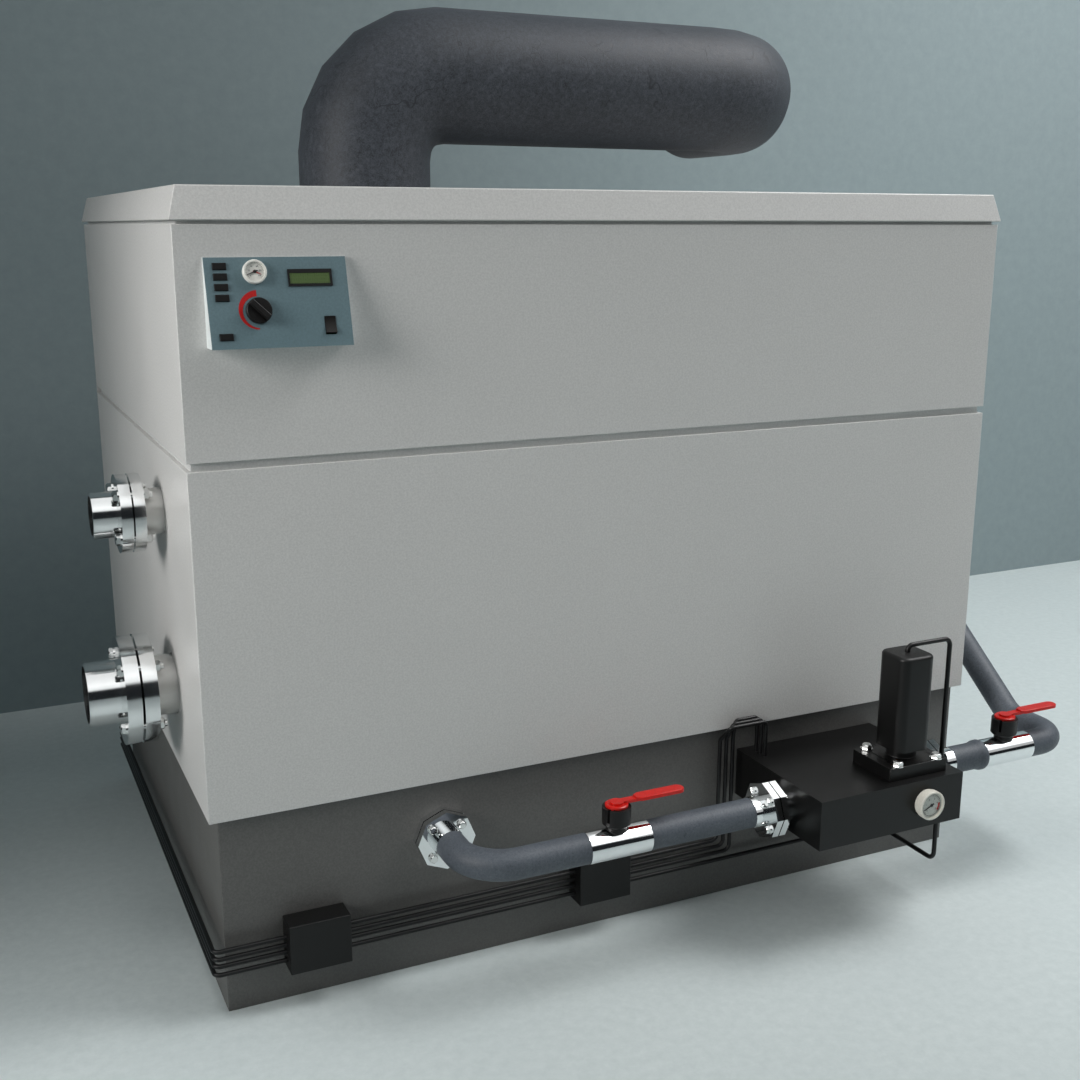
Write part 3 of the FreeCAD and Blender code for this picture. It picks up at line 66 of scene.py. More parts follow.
class Mat:
    """A small builder for node materials, in object coordinates (metres)."""

    INPUTS = {"color": "Base Color", "rough": "Roughness", "metal": "Metallic",
              "spec": "Specular IOR Level", "normal": "Normal", "coat": "Coat Weight",
              "coat_rough": "Coat Roughness"}

    def __init__(self, name):
        self.material = bpy.data.materials.new(name)
        self.material.use_nodes = True
        self.tree = self.material.node_tree
        self.tree.nodes.clear()
        self.out = self.add("ShaderNodeOutputMaterial")
        self.bsdf = self.add("ShaderNodeBsdfPrincipled")
        self.link(self.bsdf.outputs[0], self.out.inputs[0])
        self.coord = self.add("ShaderNodeTexCoord").outputs["Object"]

    def add(self, kind, **settings):
        node = self.tree.nodes.new(kind)
        for key, value in settings.items():
            setattr(node, key, value)
        return node

    def link(self, source, target):
        self.tree.links.new(source, target)

    def put(self, socket, value):
        """Links a socket, or sets a plain value."""
        if isinstance(value, bpy.types.NodeSocket):
            self.link(value, socket)
        else:
            socket.default_value = value

    def set(self, **values):
        """Sets inputs of the main shader and returns the finished material."""
        for key, value in values.items():
            self.put(self.bsdf.inputs[self.INPUTS[key]], value)
        return self.material

    def noise(self, scale, detail=2.0, rough=0.5, distort=0.0, vec=None, out="Fac"):
        node = self.add("ShaderNodeTexNoise")
        node.inputs["Scale"].default_value = scale
        node.inputs["Detail"].default_value = detail
        node.inputs["Roughness"].default_value = rough
        node.inputs["Distortion"].default_value = distort
        self.link(vec or self.coord, node.inputs["Vector"])
        return node.outputs[out]

    def voronoi(self, scale, feature="F1", vec=None):
        node = self.add("ShaderNodeTexVoronoi", feature=feature)
        node.inputs["Scale"].default_value = scale
        node.inputs["Randomness"].default_value = 1.0
        self.link(vec or self.coord, node.inputs["Vector"])
        return node.outputs["Distance"]

    def stretch(self, scale, turn=(0, 0, 0)):
        node = self.add("ShaderNodeMapping")
        node.inputs["Scale"].default_value = scale
        node.inputs["Rotation"].default_value = turn
        self.link(self.coord, node.inputs["Vector"])
        return node.outputs[0]

    def ramp(self, fac, *stops):
        node = self.add("ShaderNodeValToRGB")
        fill_ramp(node, stops)
        self.put(node.inputs[0], fac)
        return node.outputs[0]

    def range(self, value, of=MID, to=(0.0, 1.0)):
        """Maps the span `of` onto the span `to`, clamped."""
        node = self.add("ShaderNodeMapRange")
        node.clamp = True
        for socket, item in zip(node.inputs, (value, *of, *to)):
            self.put(socket, item)
        return node.outputs[0]

    def sway(self, value, by, about=0.0, of=MID):
        """Maps the span `of` to `by` on either side of `about`."""
        return self.range(value, of=of, to=(about - by, about + by))

    def math(self, operation, first, second, clamp=False):
        node = self.add("ShaderNodeMath", operation=operation, use_clamp=clamp)
        self.put(node.inputs[0], first)
        self.put(node.inputs[1], second)
        return node.outputs[0]

    def plus(self, first, second):
        return self.math("ADD", first, second)

    def times(self, first, second):
        return self.math("MULTIPLY", first, second)

    def mix(self, fac, first, second, mode="MIX"):
        node = self.add("ShaderNodeMix", data_type="RGBA", blend_type=mode)
        self.put(node.inputs[0], fac)
        self.put(node.inputs[6], first)
        self.put(node.inputs[7], second)
        return node.outputs[2]

    def shade(self, color, factor):
        """Multiplies a colour by a factor near 1."""
        return self.mix(1.0, color, factor, "MULTIPLY")

    def bump(self, height, strength, dist):
        node = self.add("ShaderNodeBump")
        node.inputs["Strength"].default_value = strength
        node.inputs["Distance"].default_value = dist
        self.put(node.inputs["Height"], height)
        return node.outputs[0]

    def edge(self, radius, gain=3.0):
        """About 1 on sharp outer and inner edges, 0 on flat faces."""
        bevel = self.add("ShaderNodeBevel", samples=4)
        bevel.inputs["Radius"].default_value = radius
        geometry = self.add("ShaderNodeNewGeometry")
        dot = self.add("ShaderNodeVectorMath", operation="DOT_PRODUCT")
        self.link(bevel.outputs[0], dot.inputs[0])
        self.link(geometry.outputs["True Normal"], dot.inputs[1])
        bend = self.math("SUBTRACT", 1.0, dot.outputs["Value"])
        return self.math("MULTIPLY", bend, gain, clamp=True)

    def rub_edges(self, color, edge_wear_highlight_rgb, radius, scale, of):
        """Paints the edges toward another colour, in patches: partly wear, partly a painted
        edge highlight.
        """
        patches = self.range(self.noise(scale=scale, detail=4, rough=0.7), of=of)
        # painted edge highlight, patchy like wear: sharp edges are lightened toward the given
        # colour
        return self.mix(self.times(self.edge(radius), patches), color, linear(edge_wear_highlight_rgb))


# --------------------------------------------------------- material kinds
def paint(name, rgb, rough, grain=0.03, peel=0.10, edge_wear_highlight_rgb=None, drift=0.03, coat=0.0,
          spec=0.5, peel_scale=420.0):
    """Sprayed paint: orange peel, fine speckle, slow tone drift, paler edges in patches (partly
    wear, partly painted edge highlight).
    """
    mat = Mat(name)
    speck = mat.noise(scale=2600, detail=3, rough=0.7)
    slow = mat.noise(scale=2.3, detail=4, rough=0.55)
    cloud = mat.noise(scale=14, detail=5, rough=0.6)
    tone = mat.plus(mat.sway(speck, about=1, by=grain, of=(0.25, 0.75)),
                    mat.sway(slow, by=drift))
    tone = mat.plus(tone, mat.sway(cloud, by=drift * 0.5))
    blotch = mat.noise(scale=350, detail=2, rough=0.6)
    tone = mat.plus(tone, mat.sway(blotch, by=1.9 * grain, of=(0.34, 0.66)))
    color = mat.shade(linear(rgb), tone)
    if edge_wear_highlight_rgb:
        # paler edges: painted edge highlight, partly wear
        color = mat.rub_edges(color, edge_wear_highlight_rgb, radius=0.0012, scale=160, of=(0.42, 0.66))
    gloss = mat.noise(scale=6, detail=4, rough=0.6)
    roughness = mat.plus(mat.sway(gloss, about=rough, by=0.05), mat.sway(speck, by=0.03))
    height = mat.plus(mat.noise(scale=peel_scale), mat.times(speck, 0.35))
    return mat.set(color=color, rough=roughness, spec=spec, coat=coat, coat_rough=0.15,
                   normal=mat.bump(height, strength=peel, dist=0.0004))


def coating(name, rgb, dark, light, rough, spec, density=1.0):
    """Slate pipe coating: mottled cloth-like grain, pale scuffs and thin scratches."""
    mat = Mat(name)
    dark, light = linear(dark), linear(light)
    fine = mat.noise(scale=420 * density, detail=5, rough=0.78)
    mottle = mat.noise(scale=120 * density, detail=6, rough=0.72, distort=0.35)
    slow = mat.noise(scale=9 * density, detail=4, rough=0.6)
    color = mat.ramp(mottle, (0.30, dark), (0.52, linear(rgb)), (0.78, light))
    color = mat.mix(mat.range(fine, of=(0.42, 0.66), to=(0.0, 0.62)), color, light)
    color = mat.mix(mat.range(slow, of=(0.35, 0.70), to=(0.0, 0.25)), color, dark)

    # scratches: edges of warped cells, in two sizes, each masked to a few patches
    warp = mat.add("ShaderNodeVectorMath", operation="MULTIPLY_ADD")
    mat.link(mat.noise(scale=6 * density, detail=3, rough=0.6, out="Color"), warp.inputs[0])
    warp.inputs[1].default_value = (0.16, 0.16, 0.16)
    mat.link(mat.stretch((1, 1, 0.55), turn=(0.4, 0.7, 0.2)), warp.inputs[2])

    def scratches(cells, width, patches, of):
        edges = mat.voronoi(cells * density, "DISTANCE_TO_EDGE", warp.outputs[0])
        line = mat.range(edges, of=(0.0, width), to=(1.0, 0.0))
        mask = mat.range(mat.noise(scale=patches * density, detail=3, rough=0.6), of=of)
        return mat.times(line, mask)

    scratch = mat.math("MAXIMUM",
                       scratches(cells=8.5, width=0.012, patches=7, of=(0.52, 0.62)),
                       scratches(cells=27, width=0.02, patches=15, of=(0.56, 0.66)))
    color = mat.mix(mat.times(scratch, 0.75), color, dark)
    height = mat.plus(mat.times(mottle, 0.5), mat.times(fine, 0.8))
    height = mat.math("SUBTRACT", height, mat.times(scratch, 0.7))
    roughness = mat.plus(mat.range(mottle, of=(0.3, 0.75), to=(rough - 0.08, rough + 0.10)),
                         mat.sway(fine, by=0.05))
    return mat.set(color=color, rough=roughness, spec=spec,
                   normal=mat.bump(height, strength=0.32, dist=0.0009))


def metal(name, rgb, rough, brush, grain=(1, 1, 1), tarnish=0.02, dull=(120, 116, 108)):
    """Bare or plated metal: brushed by `brush` along the stretched grain, with dull smudges."""
    mat = Mat(name)
    slow = mat.noise(scale=22, detail=5, rough=0.65)
    fine = mat.noise(scale=500, detail=3, rough=0.6, vec=mat.stretch(grain))
    smudge = mat.range(mat.noise(scale=38, detail=5, rough=0.62, distort=0.6), of=(0.50, 0.72))
    roughness = mat.plus(mat.sway(fine, about=rough, by=brush),
                         mat.times(smudge, tarnish * 2.0))
    color = mat.mix(mat.times(mat.range(slow, of=(0.45, 0.75)), tarnish * 6),
                    linear(rgb), linear(dull))
    return mat.set(color=color, rough=roughness, metal=1.0,
                   normal=mat.bump(fine, strength=0.05 + brush, dist=0.0002))


def satin(name, rgb, rough, brush, grain):
    """Pale satin-finished metal: partly reflecting, partly scattering, lightly brushed."""
    mat = Mat(name)
    fine = mat.noise(scale=500, detail=3, rough=0.6, vec=mat.stretch(grain))
    slow = mat.noise(scale=22, detail=5, rough=0.65)
    tone = mat.plus(mat.sway(fine, about=1, by=0.05), mat.sway(slow, by=0.03))
    return mat.set(color=mat.shade(linear(rgb), tone),
                   rough=mat.sway(fine, about=rough, by=brush), metal=0.35, spec=0.6,
                   normal=mat.bump(fine, strength=0.08, dist=0.0002))


def plastic(name, rgb, rough, texture, scale, drift=0.12, edge_wear_highlight_rgb=None, spec=0.5):
    """Pebbled surface of moulded plastic, rubber or board, with optional paler edges (partly
    wear, partly painted edge highlight).
    """
    mat = Mat(name)
    cell = mat.voronoi(scale)
    fine = mat.noise(scale=scale * 0.6, detail=3, rough=0.6)
    slow = mat.noise(scale=18, detail=4, rough=0.6)
    color = mat.shade(linear(rgb), mat.sway(slow, about=1, by=drift))
    if edge_wear_highlight_rgb:
        # paler edges: painted edge highlight, partly wear
        color = mat.rub_edges(color, edge_wear_highlight_rgb, radius=0.0009, scale=220, of=(0.40, 0.70))
    height = mat.plus(cell, mat.times(fine, 0.6))
    return mat.set(color=color, rough=mat.range(fine, to=(rough - 0.06, rough + 0.08)),
                   spec=spec, normal=mat.bump(height, strength=texture, dist=0.0003))


# ------------------------------------------------ materials of the CAD pieces
def assign(material, *names):
    """Gives one material to every slot of the named CAD pieces."""
    for name in names:
        obj = NODES[name]
        if not obj.data.materials:
            obj.data.materials.append(material)
        for slot in obj.material_slots:
            slot.material = material


# the edge colours below are paler than their base: painted edge highlight, partly wear
# cabinet
assign(paint("jacket_paint", (212, 211, 209), rough=0.36, grain=0.035,
             edge_wear_highlight_rgb=(214, 216, 215), drift=0.012),
       "lower_jacket", "upper_jacket", "rear_panel")
assign(paint("cap_paint", (213, 212, 210), rough=0.38, grain=0.035,
             edge_wear_highlight_rgb=(216, 217, 216), drift=0.012), "top_cap")
assign(paint("trim_paint", (206, 207, 206), rough=0.40, peel=0.08,
             edge_wear_highlight_rgb=(216, 217, 216), drift=0.02), "trim_frame")
assign(paint("plinth_paint", (98, 97, 95), rough=0.50, grain=0.06, peel=0.22,
             edge_wear_highlight_rgb=(122, 123, 121), drift=0.05, peel_scale=700), "plinth")
assign(paint("frame_paint", (46, 47, 49), rough=0.5, grain=0.06, peel=0.2,
             edge_wear_highlight_rgb=(90, 88, 84), drift=0.08), "base_frame")

# flue, pipes and flanges
assign(coating("flue_coating", (58, 62, 69), dark=(31, 34, 39), light=(90, 95, 102),
               rough=0.55, spec=0.32), "flue_duct")
assign(coating("pipe_coating", (82, 88, 96), dark=(54, 59, 67), light=(106, 113, 121),
               rough=0.50, spec=0.4, density=2.2),
       "burner_feed_elbow", "burner_feed_pipe", "supply_nipple", "supply_pipe")
assign(metal("port_flange_plate", (232, 233, 233), rough=0.11, brush=0.035, grain=(4, 1, 1),
             tarnish=0.012),
       "upper_port_inner_flange", "upper_port_outer_flange",
       "lower_port_inner_flange", "lower_port_outer_flange")
assign(metal("chrome_plate", (238, 240, 241), rough=0.045, brush=0.02, tarnish=0.012),
       "gas_flanges", "valve_bodies")
assign(metal("chrome_bolts", (230, 231, 230), rough=0.10, brush=0.04),
       "water_port_bolts", "gas_flange_bolts", "actuator_base_bolts")
assign(plastic("gasket_rubber", (34, 34, 34), rough=0.7, texture=0.5, scale=900),
       "flange_gaskets")
assign(satin("spigot_satin", (214, 213, 210), rough=0.34, brush=0.06, grain=(6, 1, 1)),
       "left_header", "right_header")

# burner and heat exchanger
assign(metal("copper", (212, 140, 110), rough=0.22, brush=0.06, grain=(1, 4, 4), tarnish=0.05,
             dull=(120, 70, 50)), "finned_tubes")
assign(metal("brass", (214, 186, 118), rough=0.2, brush=0.04, tarnish=0.04,
             dull=(120, 98, 60)), "burner_orifices")
assign(metal("sheet_steel", (176, 178, 180), rough=0.34, brush=0.08, grain=(1, 12, 1),
             tarnish=0.05), "burner_tubes", "burner_tray", "flue_collector")
assign(paint("iron_pipe", (58, 58, 60), rough=0.55, grain=0.10, peel=0.4,
             edge_wear_highlight_rgb=(96, 92, 88), drift=0.1, peel_scale=300), "gas_manifold")
assign(plastic("refractory_board", (222, 216, 200), rough=0.9, texture=0.8, scale=260,
               drift=0.06), "refractory_panels")
assign(plastic("ceramic_rod", (226, 222, 212), rough=0.4, texture=0.2, scale=900, drift=0.05),
       "flame_igniter")

# gas valves and actuator
assign(paint("block_black", (14, 14, 14), rough=0.36, grain=0.10, peel=0.20,
             edge_wear_highlight_rgb=(44, 42, 40), drift=0.10, spec=0.32, peel_scale=520),
       "gas_block", "actuator_base")
assign(plastic("black_casing", (14, 14, 14), rough=0.40, texture=0.22, scale=900, drift=0.15,
               edge_wear_highlight_rgb=(40, 39, 38), spec=0.34), "actuator_cover", "junction_boxes")
assign(plastic("conduit_black", (12, 12, 13), rough=0.36, texture=0.18, scale=1100,
               drift=0.18, spec=0.34), "conduits")
assign(plastic("stem_housing_black", (14, 13, 13), rough=0.42, texture=0.22, scale=1100,
               drift=0.15, edge_wear_highlight_rgb=(42, 40, 38), spec=0.36), "valve_stem_housings")
assign(paint("lever_red", (206, 20, 10), rough=0.34, grain=0.05, peel=0.14,
             edge_wear_highlight_rgb=(222, 44, 26), drift=0.04, coat=0.08, spec=0.36, peel_scale=650),
       "burner_valve_lever", "supply_valve_lever")
assign(metal("turned_steel", (190, 192, 194), rough=0.2, brush=0.06, grain=(1, 1, 8),
             tarnish=0.03),
       "burner_valve_stem", "supply_valve_stem", "actuator_core", "closing_spring")
assign(plastic("coil_windings", (92, 48, 22), rough=0.35, texture=0.4, scale=500, drift=0.2),
       "actuator_coil")

# gauge and control panel
assign(paint("gauge_enamel", (226, 223, 212), rough=0.34, edge_wear_highlight_rgb=(240, 238, 230),
             drift=0.02), "gauge_case")
assign(paint("needle_black", (26, 24, 24), rough=0.35, grain=0.05, peel=0.05, drift=0.05),
       "gauge_needle", "thermometer_needle")
assign(plastic("panel_side_grey", (218, 224, 224), rough=0.45, texture=0.15, scale=1300,
               drift=0.03, edge_wear_highlight_rgb=(236, 238, 238)), "panel_housing")
assign(paint("panel_face_blue", (98, 121, 128), rough=0.42, grain=0.035, peel=0.16,
             edge_wear_highlight_rgb=(128, 148, 154), peel_scale=1100), "panel_face")
assign(plastic("display_bezel", (14, 14, 14), rough=0.48, texture=0.2, scale=1500, drift=0.1,
               edge_wear_highlight_rgb=(30, 30, 30), spec=0.25), "display_module")
assign(paint("thermometer_white", (232, 231, 224), rough=0.34, grain=0.02, peel=0.06,
             edge_wear_highlight_rgb=(244, 243, 240), drift=0.02), "thermometer_case")
assign(plastic("control_black", (12, 11, 11), rough=0.46, texture=0.2, scale=1500,
               edge_wear_highlight_rgb=(30, 27, 25), spec=0.22),
       "thermostat_knob", "menu_button_1", "menu_button_2", "menu_button_3",
       "menu_button_4", "reset_button")
assign(plastic("rocker_black", (15, 13, 12), rough=0.38, texture=0.15, scale=1500,
               drift=0.15, edge_wear_highlight_rgb=(44, 37, 31), spec=0.25), "rocker_switch")
assign(plastic("circuit_board", (22, 84, 44), rough=0.35, texture=0.3, scale=700, drift=0.1),
       "control_board")

# printing on the dials
DIAL_GREY = paint("gauge_dial_grey", (198, 201, 195), rough=0.5, grain=0.05, peel=0.05,
                  drift=0.04)
INK = paint("dial_ink", (24, 24, 26), rough=0.5, grain=0.05, peel=0.05, drift=0.05)
INK_GREY = paint("dial_ink_grey", (92, 92, 92), rough=0.5, grain=0.05, peel=0.05, drift=0.05)
INK_RED = paint("scale_red", (182, 8, 6), rough=0.50, grain=0.04, peel=0.06, drift=0.05)


# --------------------------------------- softened edges on the CAD pieces
def shade_by_angle_group():
    """Welds the mesh's split corners and shades it smooth except across sharp edges."""
    group = bpy.data.node_groups.new("shade_by_angle", "GeometryNodeTree")
    sockets = group.interface
    sockets.new_socket("Geometry", in_out="INPUT", socket_type="NodeSocketGeometry")
    sockets.new_socket("Angle", in_out="INPUT", socket_type="NodeSocketFloat")
    sockets.new_socket("Geometry", in_out="OUTPUT", socket_type="NodeSocketGeometry")
    add, link = group.nodes.new, group.links.new
    entry = add("NodeGroupInput")
    result = add("NodeGroupOutput")
    weld = add("GeometryNodeMergeByDistance")
    weld.inputs["Distance"].default_value = 2e-5
    edge_angle = add("GeometryNodeInputMeshEdgeAngle")
    compare = add("FunctionNodeCompare")
    compare.data_type = "FLOAT"
    compare.operation = "LESS_EQUAL"
    faces = add("GeometryNodeSetShadeSmooth")
    faces.domain = "FACE"
    edges = add("GeometryNodeSetShadeSmooth")
    edges.domain = "EDGE"
    link(entry.outputs[0], weld.inputs["Geometry"])
    link(weld.outputs[0], faces.inputs["Geometry"])
    link(faces.outputs[0], edges.inputs["Geometry"])
    link(edge_angle.outputs[0], compare.inputs[0])
    link(entry.outputs[1], compare.inputs[1])
    link(compare.outputs[0], edges.inputs["Shade Smooth"])
    link(edges.outputs[0], result.inputs[0])
    return group


SHADE_GROUP = shade_by_angle_group()
ANGLE_KEY = next(s.identifier for s in SHADE_GROUP.interface.items_tree if s.name == "Angle")
SMOOTH_ANGLE = 30.0  # degrees: sharper edges stay crisp
SMOOTH_ANGLES = {"flue_duct": 50.0, "closing_spring": 70.0}
BEVEL_ANGLE = 32.0  # degrees: sharper edges are rounded
BEVEL_WIDTHS = {"lower_jacket": 0.0012, "upper_jacket": 0.0012, "top_cap": 0.0016,
                "plinth": 0.001, "actuator_base": 0.0010, "junction_boxes": 0.0008}


def smooth(obj, angle):
    if "custom_normal" in obj.data.attributes:
        obj.data.attributes.remove(obj.data.attributes["custom_normal"])
    shade = obj.modifiers.new("shade", "NODES")
    shade.node_group = SHADE_GROUP
    shade[ANGLE_KEY] = math.radians(angle)


def soften(obj, width):
    bevel = obj.modifiers.new("round", "BEVEL")
    bevel.width = width
    bevel.segments = 2
    bevel.limit_method = "ANGLE"
    bevel.angle_limit = math.radians(BEVEL_ANGLE)
    bevel.use_clamp_overlap = False
    obj.modifiers.new("normals", "WEIGHTED_NORMAL").keep_sharp = True


for node_name, node in NODES.items():
    smooth(node, SMOOTH_ANGLES.get(node_name, SMOOTH_ANGLE))
for node_name, bevel_width in BEVEL_WIDTHS.items():
    soften(NODES[node_name], bevel_width)


# ------------------------------------------------- builders for thin pieces
class Face:
    """A flat frame in millimetres: right, up and out of the face. Gives points in metres."""

    def __init__(self, origin, right, up, out):
        self.origin, self.right = Vector(origin), Vector(right)
        self.up, self.out = Vector(up), Vector(out)

    def __call__(self, x, y, height):
        return (self.origin + self.right * x + self.up * y + self.out * height) / 1000.0


def link_object(name, data):
    obj = bpy.data.objects.new(name, data)
    scene.collection.objects.link(obj)
    return obj


def mesh_object(name, verts, faces, material, uv):
    """A piece of the cabinet, with one UV point per vertex."""
    mesh = bpy.data.meshes.new(name)
    mesh.from_pydata(verts, [], faces)
    mesh.update()
    layer = mesh.uv_layers.new(name="face")
    for loop in mesh.loops:
        layer.data[loop.index].uv = uv[loop.vertex_index]
    bm = bmesh.new()
    bm.from_mesh(mesh)
    bmesh.ops.recalc_face_normals(bm, faces=bm.faces)
    bm.to_mesh(mesh)
    bm.free()
    obj = link_object(name, mesh)
    mesh.materials.append(material)
    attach(obj, "cabinet")
    return obj


def slab(name, face, outline, low, high, material):
    """A closed thin plate with the given (x, y) outline between two heights."""
    count = len(outline)
    verts = [face(x, y, height) for height in (low, high) for x, y in outline]
    faces = [tuple(range(count))[::-1], tuple(range(count, 2 * count))]
    for i in range(count):
        j = (i + 1) % count
        faces.append((i, j, count + j, count + i))
    return mesh_object(name, verts, faces, material, outline * 2)


def band(name, face, inner, outer, low, high, material, closed=False):
    """A strip between two rows of (x, y) points; `closed` joins its ends into a ring."""
    count = len(inner)
    row = inner + outer
    verts = [face(x, y, height) for height in (low, high) for x, y in row]
    out_low, in_high, out_high = count, 2 * count, 3 * count
    faces = []
    for i in range(count if closed else count - 1):
        j = (i + 1) % count
        faces += [(i, out_low + i, out_low + j, j),
                  (in_high + i, in_high + j, out_high + j, out_high + i),
                  (i, j, in_high + j, in_high + i),
                  (out_low + i, out_high + i, out_high + j, out_low + j)]
    if not closed:
        end = count - 1
        faces += [(0, in_high, out_high, out_low),
                  (end, out_low + end, out_high + end, in_high + end)]
    mesh_object(name, verts, faces, material, row * 2)


def join(name, meshes, material):
    """One cabinet object made of several meshes."""
    bm = bmesh.new()
    for piece in meshes:
        bm.from_mesh(piece)
    mesh = bpy.data.meshes.new(name)
    bm.to_mesh(mesh)
    bm.free()
    mesh.materials.append(material)
    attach(link_object(name, mesh), "cabinet")


def arc(radius, start, end, count):
    """Points on an arc about the face's origin, from start to end in degrees."""
    angles = [math.radians(start + (end - start) * i / (count - 1)) for i in range(count)]
    return [(0 + radius * math.cos(a), 0 + radius * math.sin(a)) for a in angles]


def circle(radius):
    return arc(radius, start=0, end=360, count=97)[:-1]


def spoke(angle):
    """Unit vectors along and across a direction in degrees."""
    turn = math.radians(angle)
    return (Vector((math.cos(turn), math.sin(turn))),
            Vector((-math.sin(turn), math.cos(turn))))


# both dials, in degrees anticlockwise from the right
TICK_START, TICK_END = 225, -45
NUMBER_ANGLES = (222, 168, 118, 62, 12, -42)


def ticks(name, face, centre, inner, outer, count, width, low, high, material):
    middle = Vector(centre)
    meshes = []
    for i in range(count):
        along, across = spoke(TICK_START + (TICK_END - TICK_START) * i / (count - 1))
        side = across * width / 2
        start, end = middle + along * inner, middle + along * outer
        outline = [tuple(p) for p in (start - side, end - side, end + side, start + side)]
        piece = slab(f"{name}_{i}", face, outline, low, high, material)
        meshes.append(piece.data)
        bpy.data.objects.remove(piece)
    join(name, meshes, material)


def numerals(name, face, centre, radius, values, size, low, high, material):
    meshes = []
    for value, angle in zip(values, NUMBER_ANGLES):
        x = centre[0] + radius * math.cos(math.radians(angle))
        y = centre[1] + radius * math.sin(math.radians(angle))
        curve = bpy.data.curves.new(f"{name}_{value}", "FONT")
        curve.body = str(value)
        curve.size = size
        curve.align_x = "CENTER"
        curve.align_y = "CENTER"
        curve.extrude = (high - low) / 2
        curve.resolution_u = 2
        text = link_object(curve.name, curve)
        bpy.context.view_layer.update()
        depsgraph = bpy.context.evaluated_depsgraph_get()
        mesh = bpy.data.meshes.new_from_object(text.evaluated_get(depsgraph))
        bpy.data.objects.remove(text)
        bpy.data.curves.remove(curve)
        for vertex in mesh.vertices:
            local = vertex.co
            vertex.co = face(x + local.x, y + local.y, (low + high) / 2 + local.z)
        meshes.append(mesh)
    join(name, meshes, material)


def hand(name, face, centre, angle, tip, tail, half_width, low, high, material):
    """A pointer, widest at its pivot and narrowed to a quarter at the tip."""
    along, across = spoke(angle)
    middle = Vector(centre)
    side = across * half_width
    butt, point = middle - along * tail, middle + along * tip
    outline = [butt - side * 0.8, middle - side, point - side * 0.25,
               point + side * 0.25, middle + side, butt + side * 0.8]
    slab(name, face, [tuple(p) for p in outline], low, high, material)


# ------------------------------------ sloping control panel (millimetres)
SLOPE = 121.754 / 118.0  # panel length along the slope over its upright height
PANEL = Face((-662.5, -496.0, 1113.5), right=(1, 0, 0), up=(0, 0.24640, 0.96917),
             out=(0, -0.96917, 0.24640))
SCALE_CENTRE = (66.1, -69.7 * SLOPE)
SCALE_RADIUS = 23.7
SCALE_WIDE, SCALE_NARROW = 4.2, 0.8  # half widths at the two ends
SCALE_STEPS = 48
SCREEN_X, SCREEN_Y = 139.9, -28.45 * SLOPE
SCREEN_HALF_W, SCREEN_HALF_H = 55.0 / 2, 14.0 / 2
THERMOMETER = (65.3, -19.7 * SLOPE)


def scale_arc():
    """The red scale: half a ring that narrows along its length."""
    inner, outer = [], []
    for i in range(SCALE_STEPS + 1):
        t = i / SCALE_STEPS
        angle = math.radians(92 + 176 * t)
        half = SCALE_WIDE * (1 - t) ** 0.9 + SCALE_NARROW * t
        for row, radius in ((inner, SCALE_RADIUS - half), (outer, SCALE_RADIUS + half)):
            row.append((SCALE_CENTRE[0] + radius * math.cos(angle),
                        SCALE_CENTRE[1] + radius * math.sin(angle)))
    band("scale_arc", PANEL, inner, outer, low=-0.05, high=0.22, material=INK_RED)


def lcd_material():
    """Green display window with a faint pattern of character cells."""
    mat = Mat("lcd_green")
    uv = mat.add("ShaderNodeUVMap", uv_map="face").outputs[0]
    split = mat.add("ShaderNodeSeparateXYZ")
    mat.link(uv, split.inputs[0])

    def cell_mask(axis, pitch, start, full):
        """1 inside each cell, falling to 0 in the gaps between cells."""
        part = mat.math("FRACT", mat.math("DIVIDE", split.outputs[axis], pitch), 0.0)
        return mat.times(mat.range(part, of=(start, full)),
                         mat.range(part, of=(1 - start, 1 - full)))

    cell = mat.times(cell_mask(axis=0, pitch=3.15, start=0.10, full=0.18),
                     cell_mask(axis=1, pitch=5.6, start=0.08, full=0.16))
    dots = mat.noise(scale=1.4, detail=1.0, vec=uv)
    lit = mat.times(cell, mat.range(dots, of=(0.50, 0.56)))
    color = mat.mix(mat.times(cell, 0.22), linear((86, 106, 64)), linear((76, 97, 56)))
    color = mat.mix(mat.times(lit, 0.22), color, linear((42, 55, 33)))
    return mat.set(color=color, rough=mat.range(mat.noise(scale=300), to=(0.26, 0.34)),
                   spec=0.3,
                   normal=mat.bump(mat.noise(scale=900), strength=0.03, dist=0.0002))


scale_arc()
slab("display_screen", PANEL,
     [(SCREEN_X + x * SCREEN_HALF_W, SCREEN_Y + y * SCREEN_HALF_H)
      for x, y in ((-1, -1), (1, -1), (1, 1), (-1, 1))],
     low=0.55, high=1.0, material=lcd_material())
ticks("thermometer_ticks", PANEL, THERMOMETER, inner=10.6, outer=12.3, count=28, width=0.30,
      low=4.18, high=4.36, material=INK_GREY)
numerals("thermometer_numbers", PANEL, THERMOMETER, radius=7.9, values=range(0, 101, 20),
         size=3.0, low=4.18, high=4.34, material=INK_GREY)
hand("thermometer_set_hand", PANEL, THERMOMETER, angle=-24, tip=9.4, tail=2.6, half_width=0.9,
     low=4.45, high=4.72, material=INK_RED)

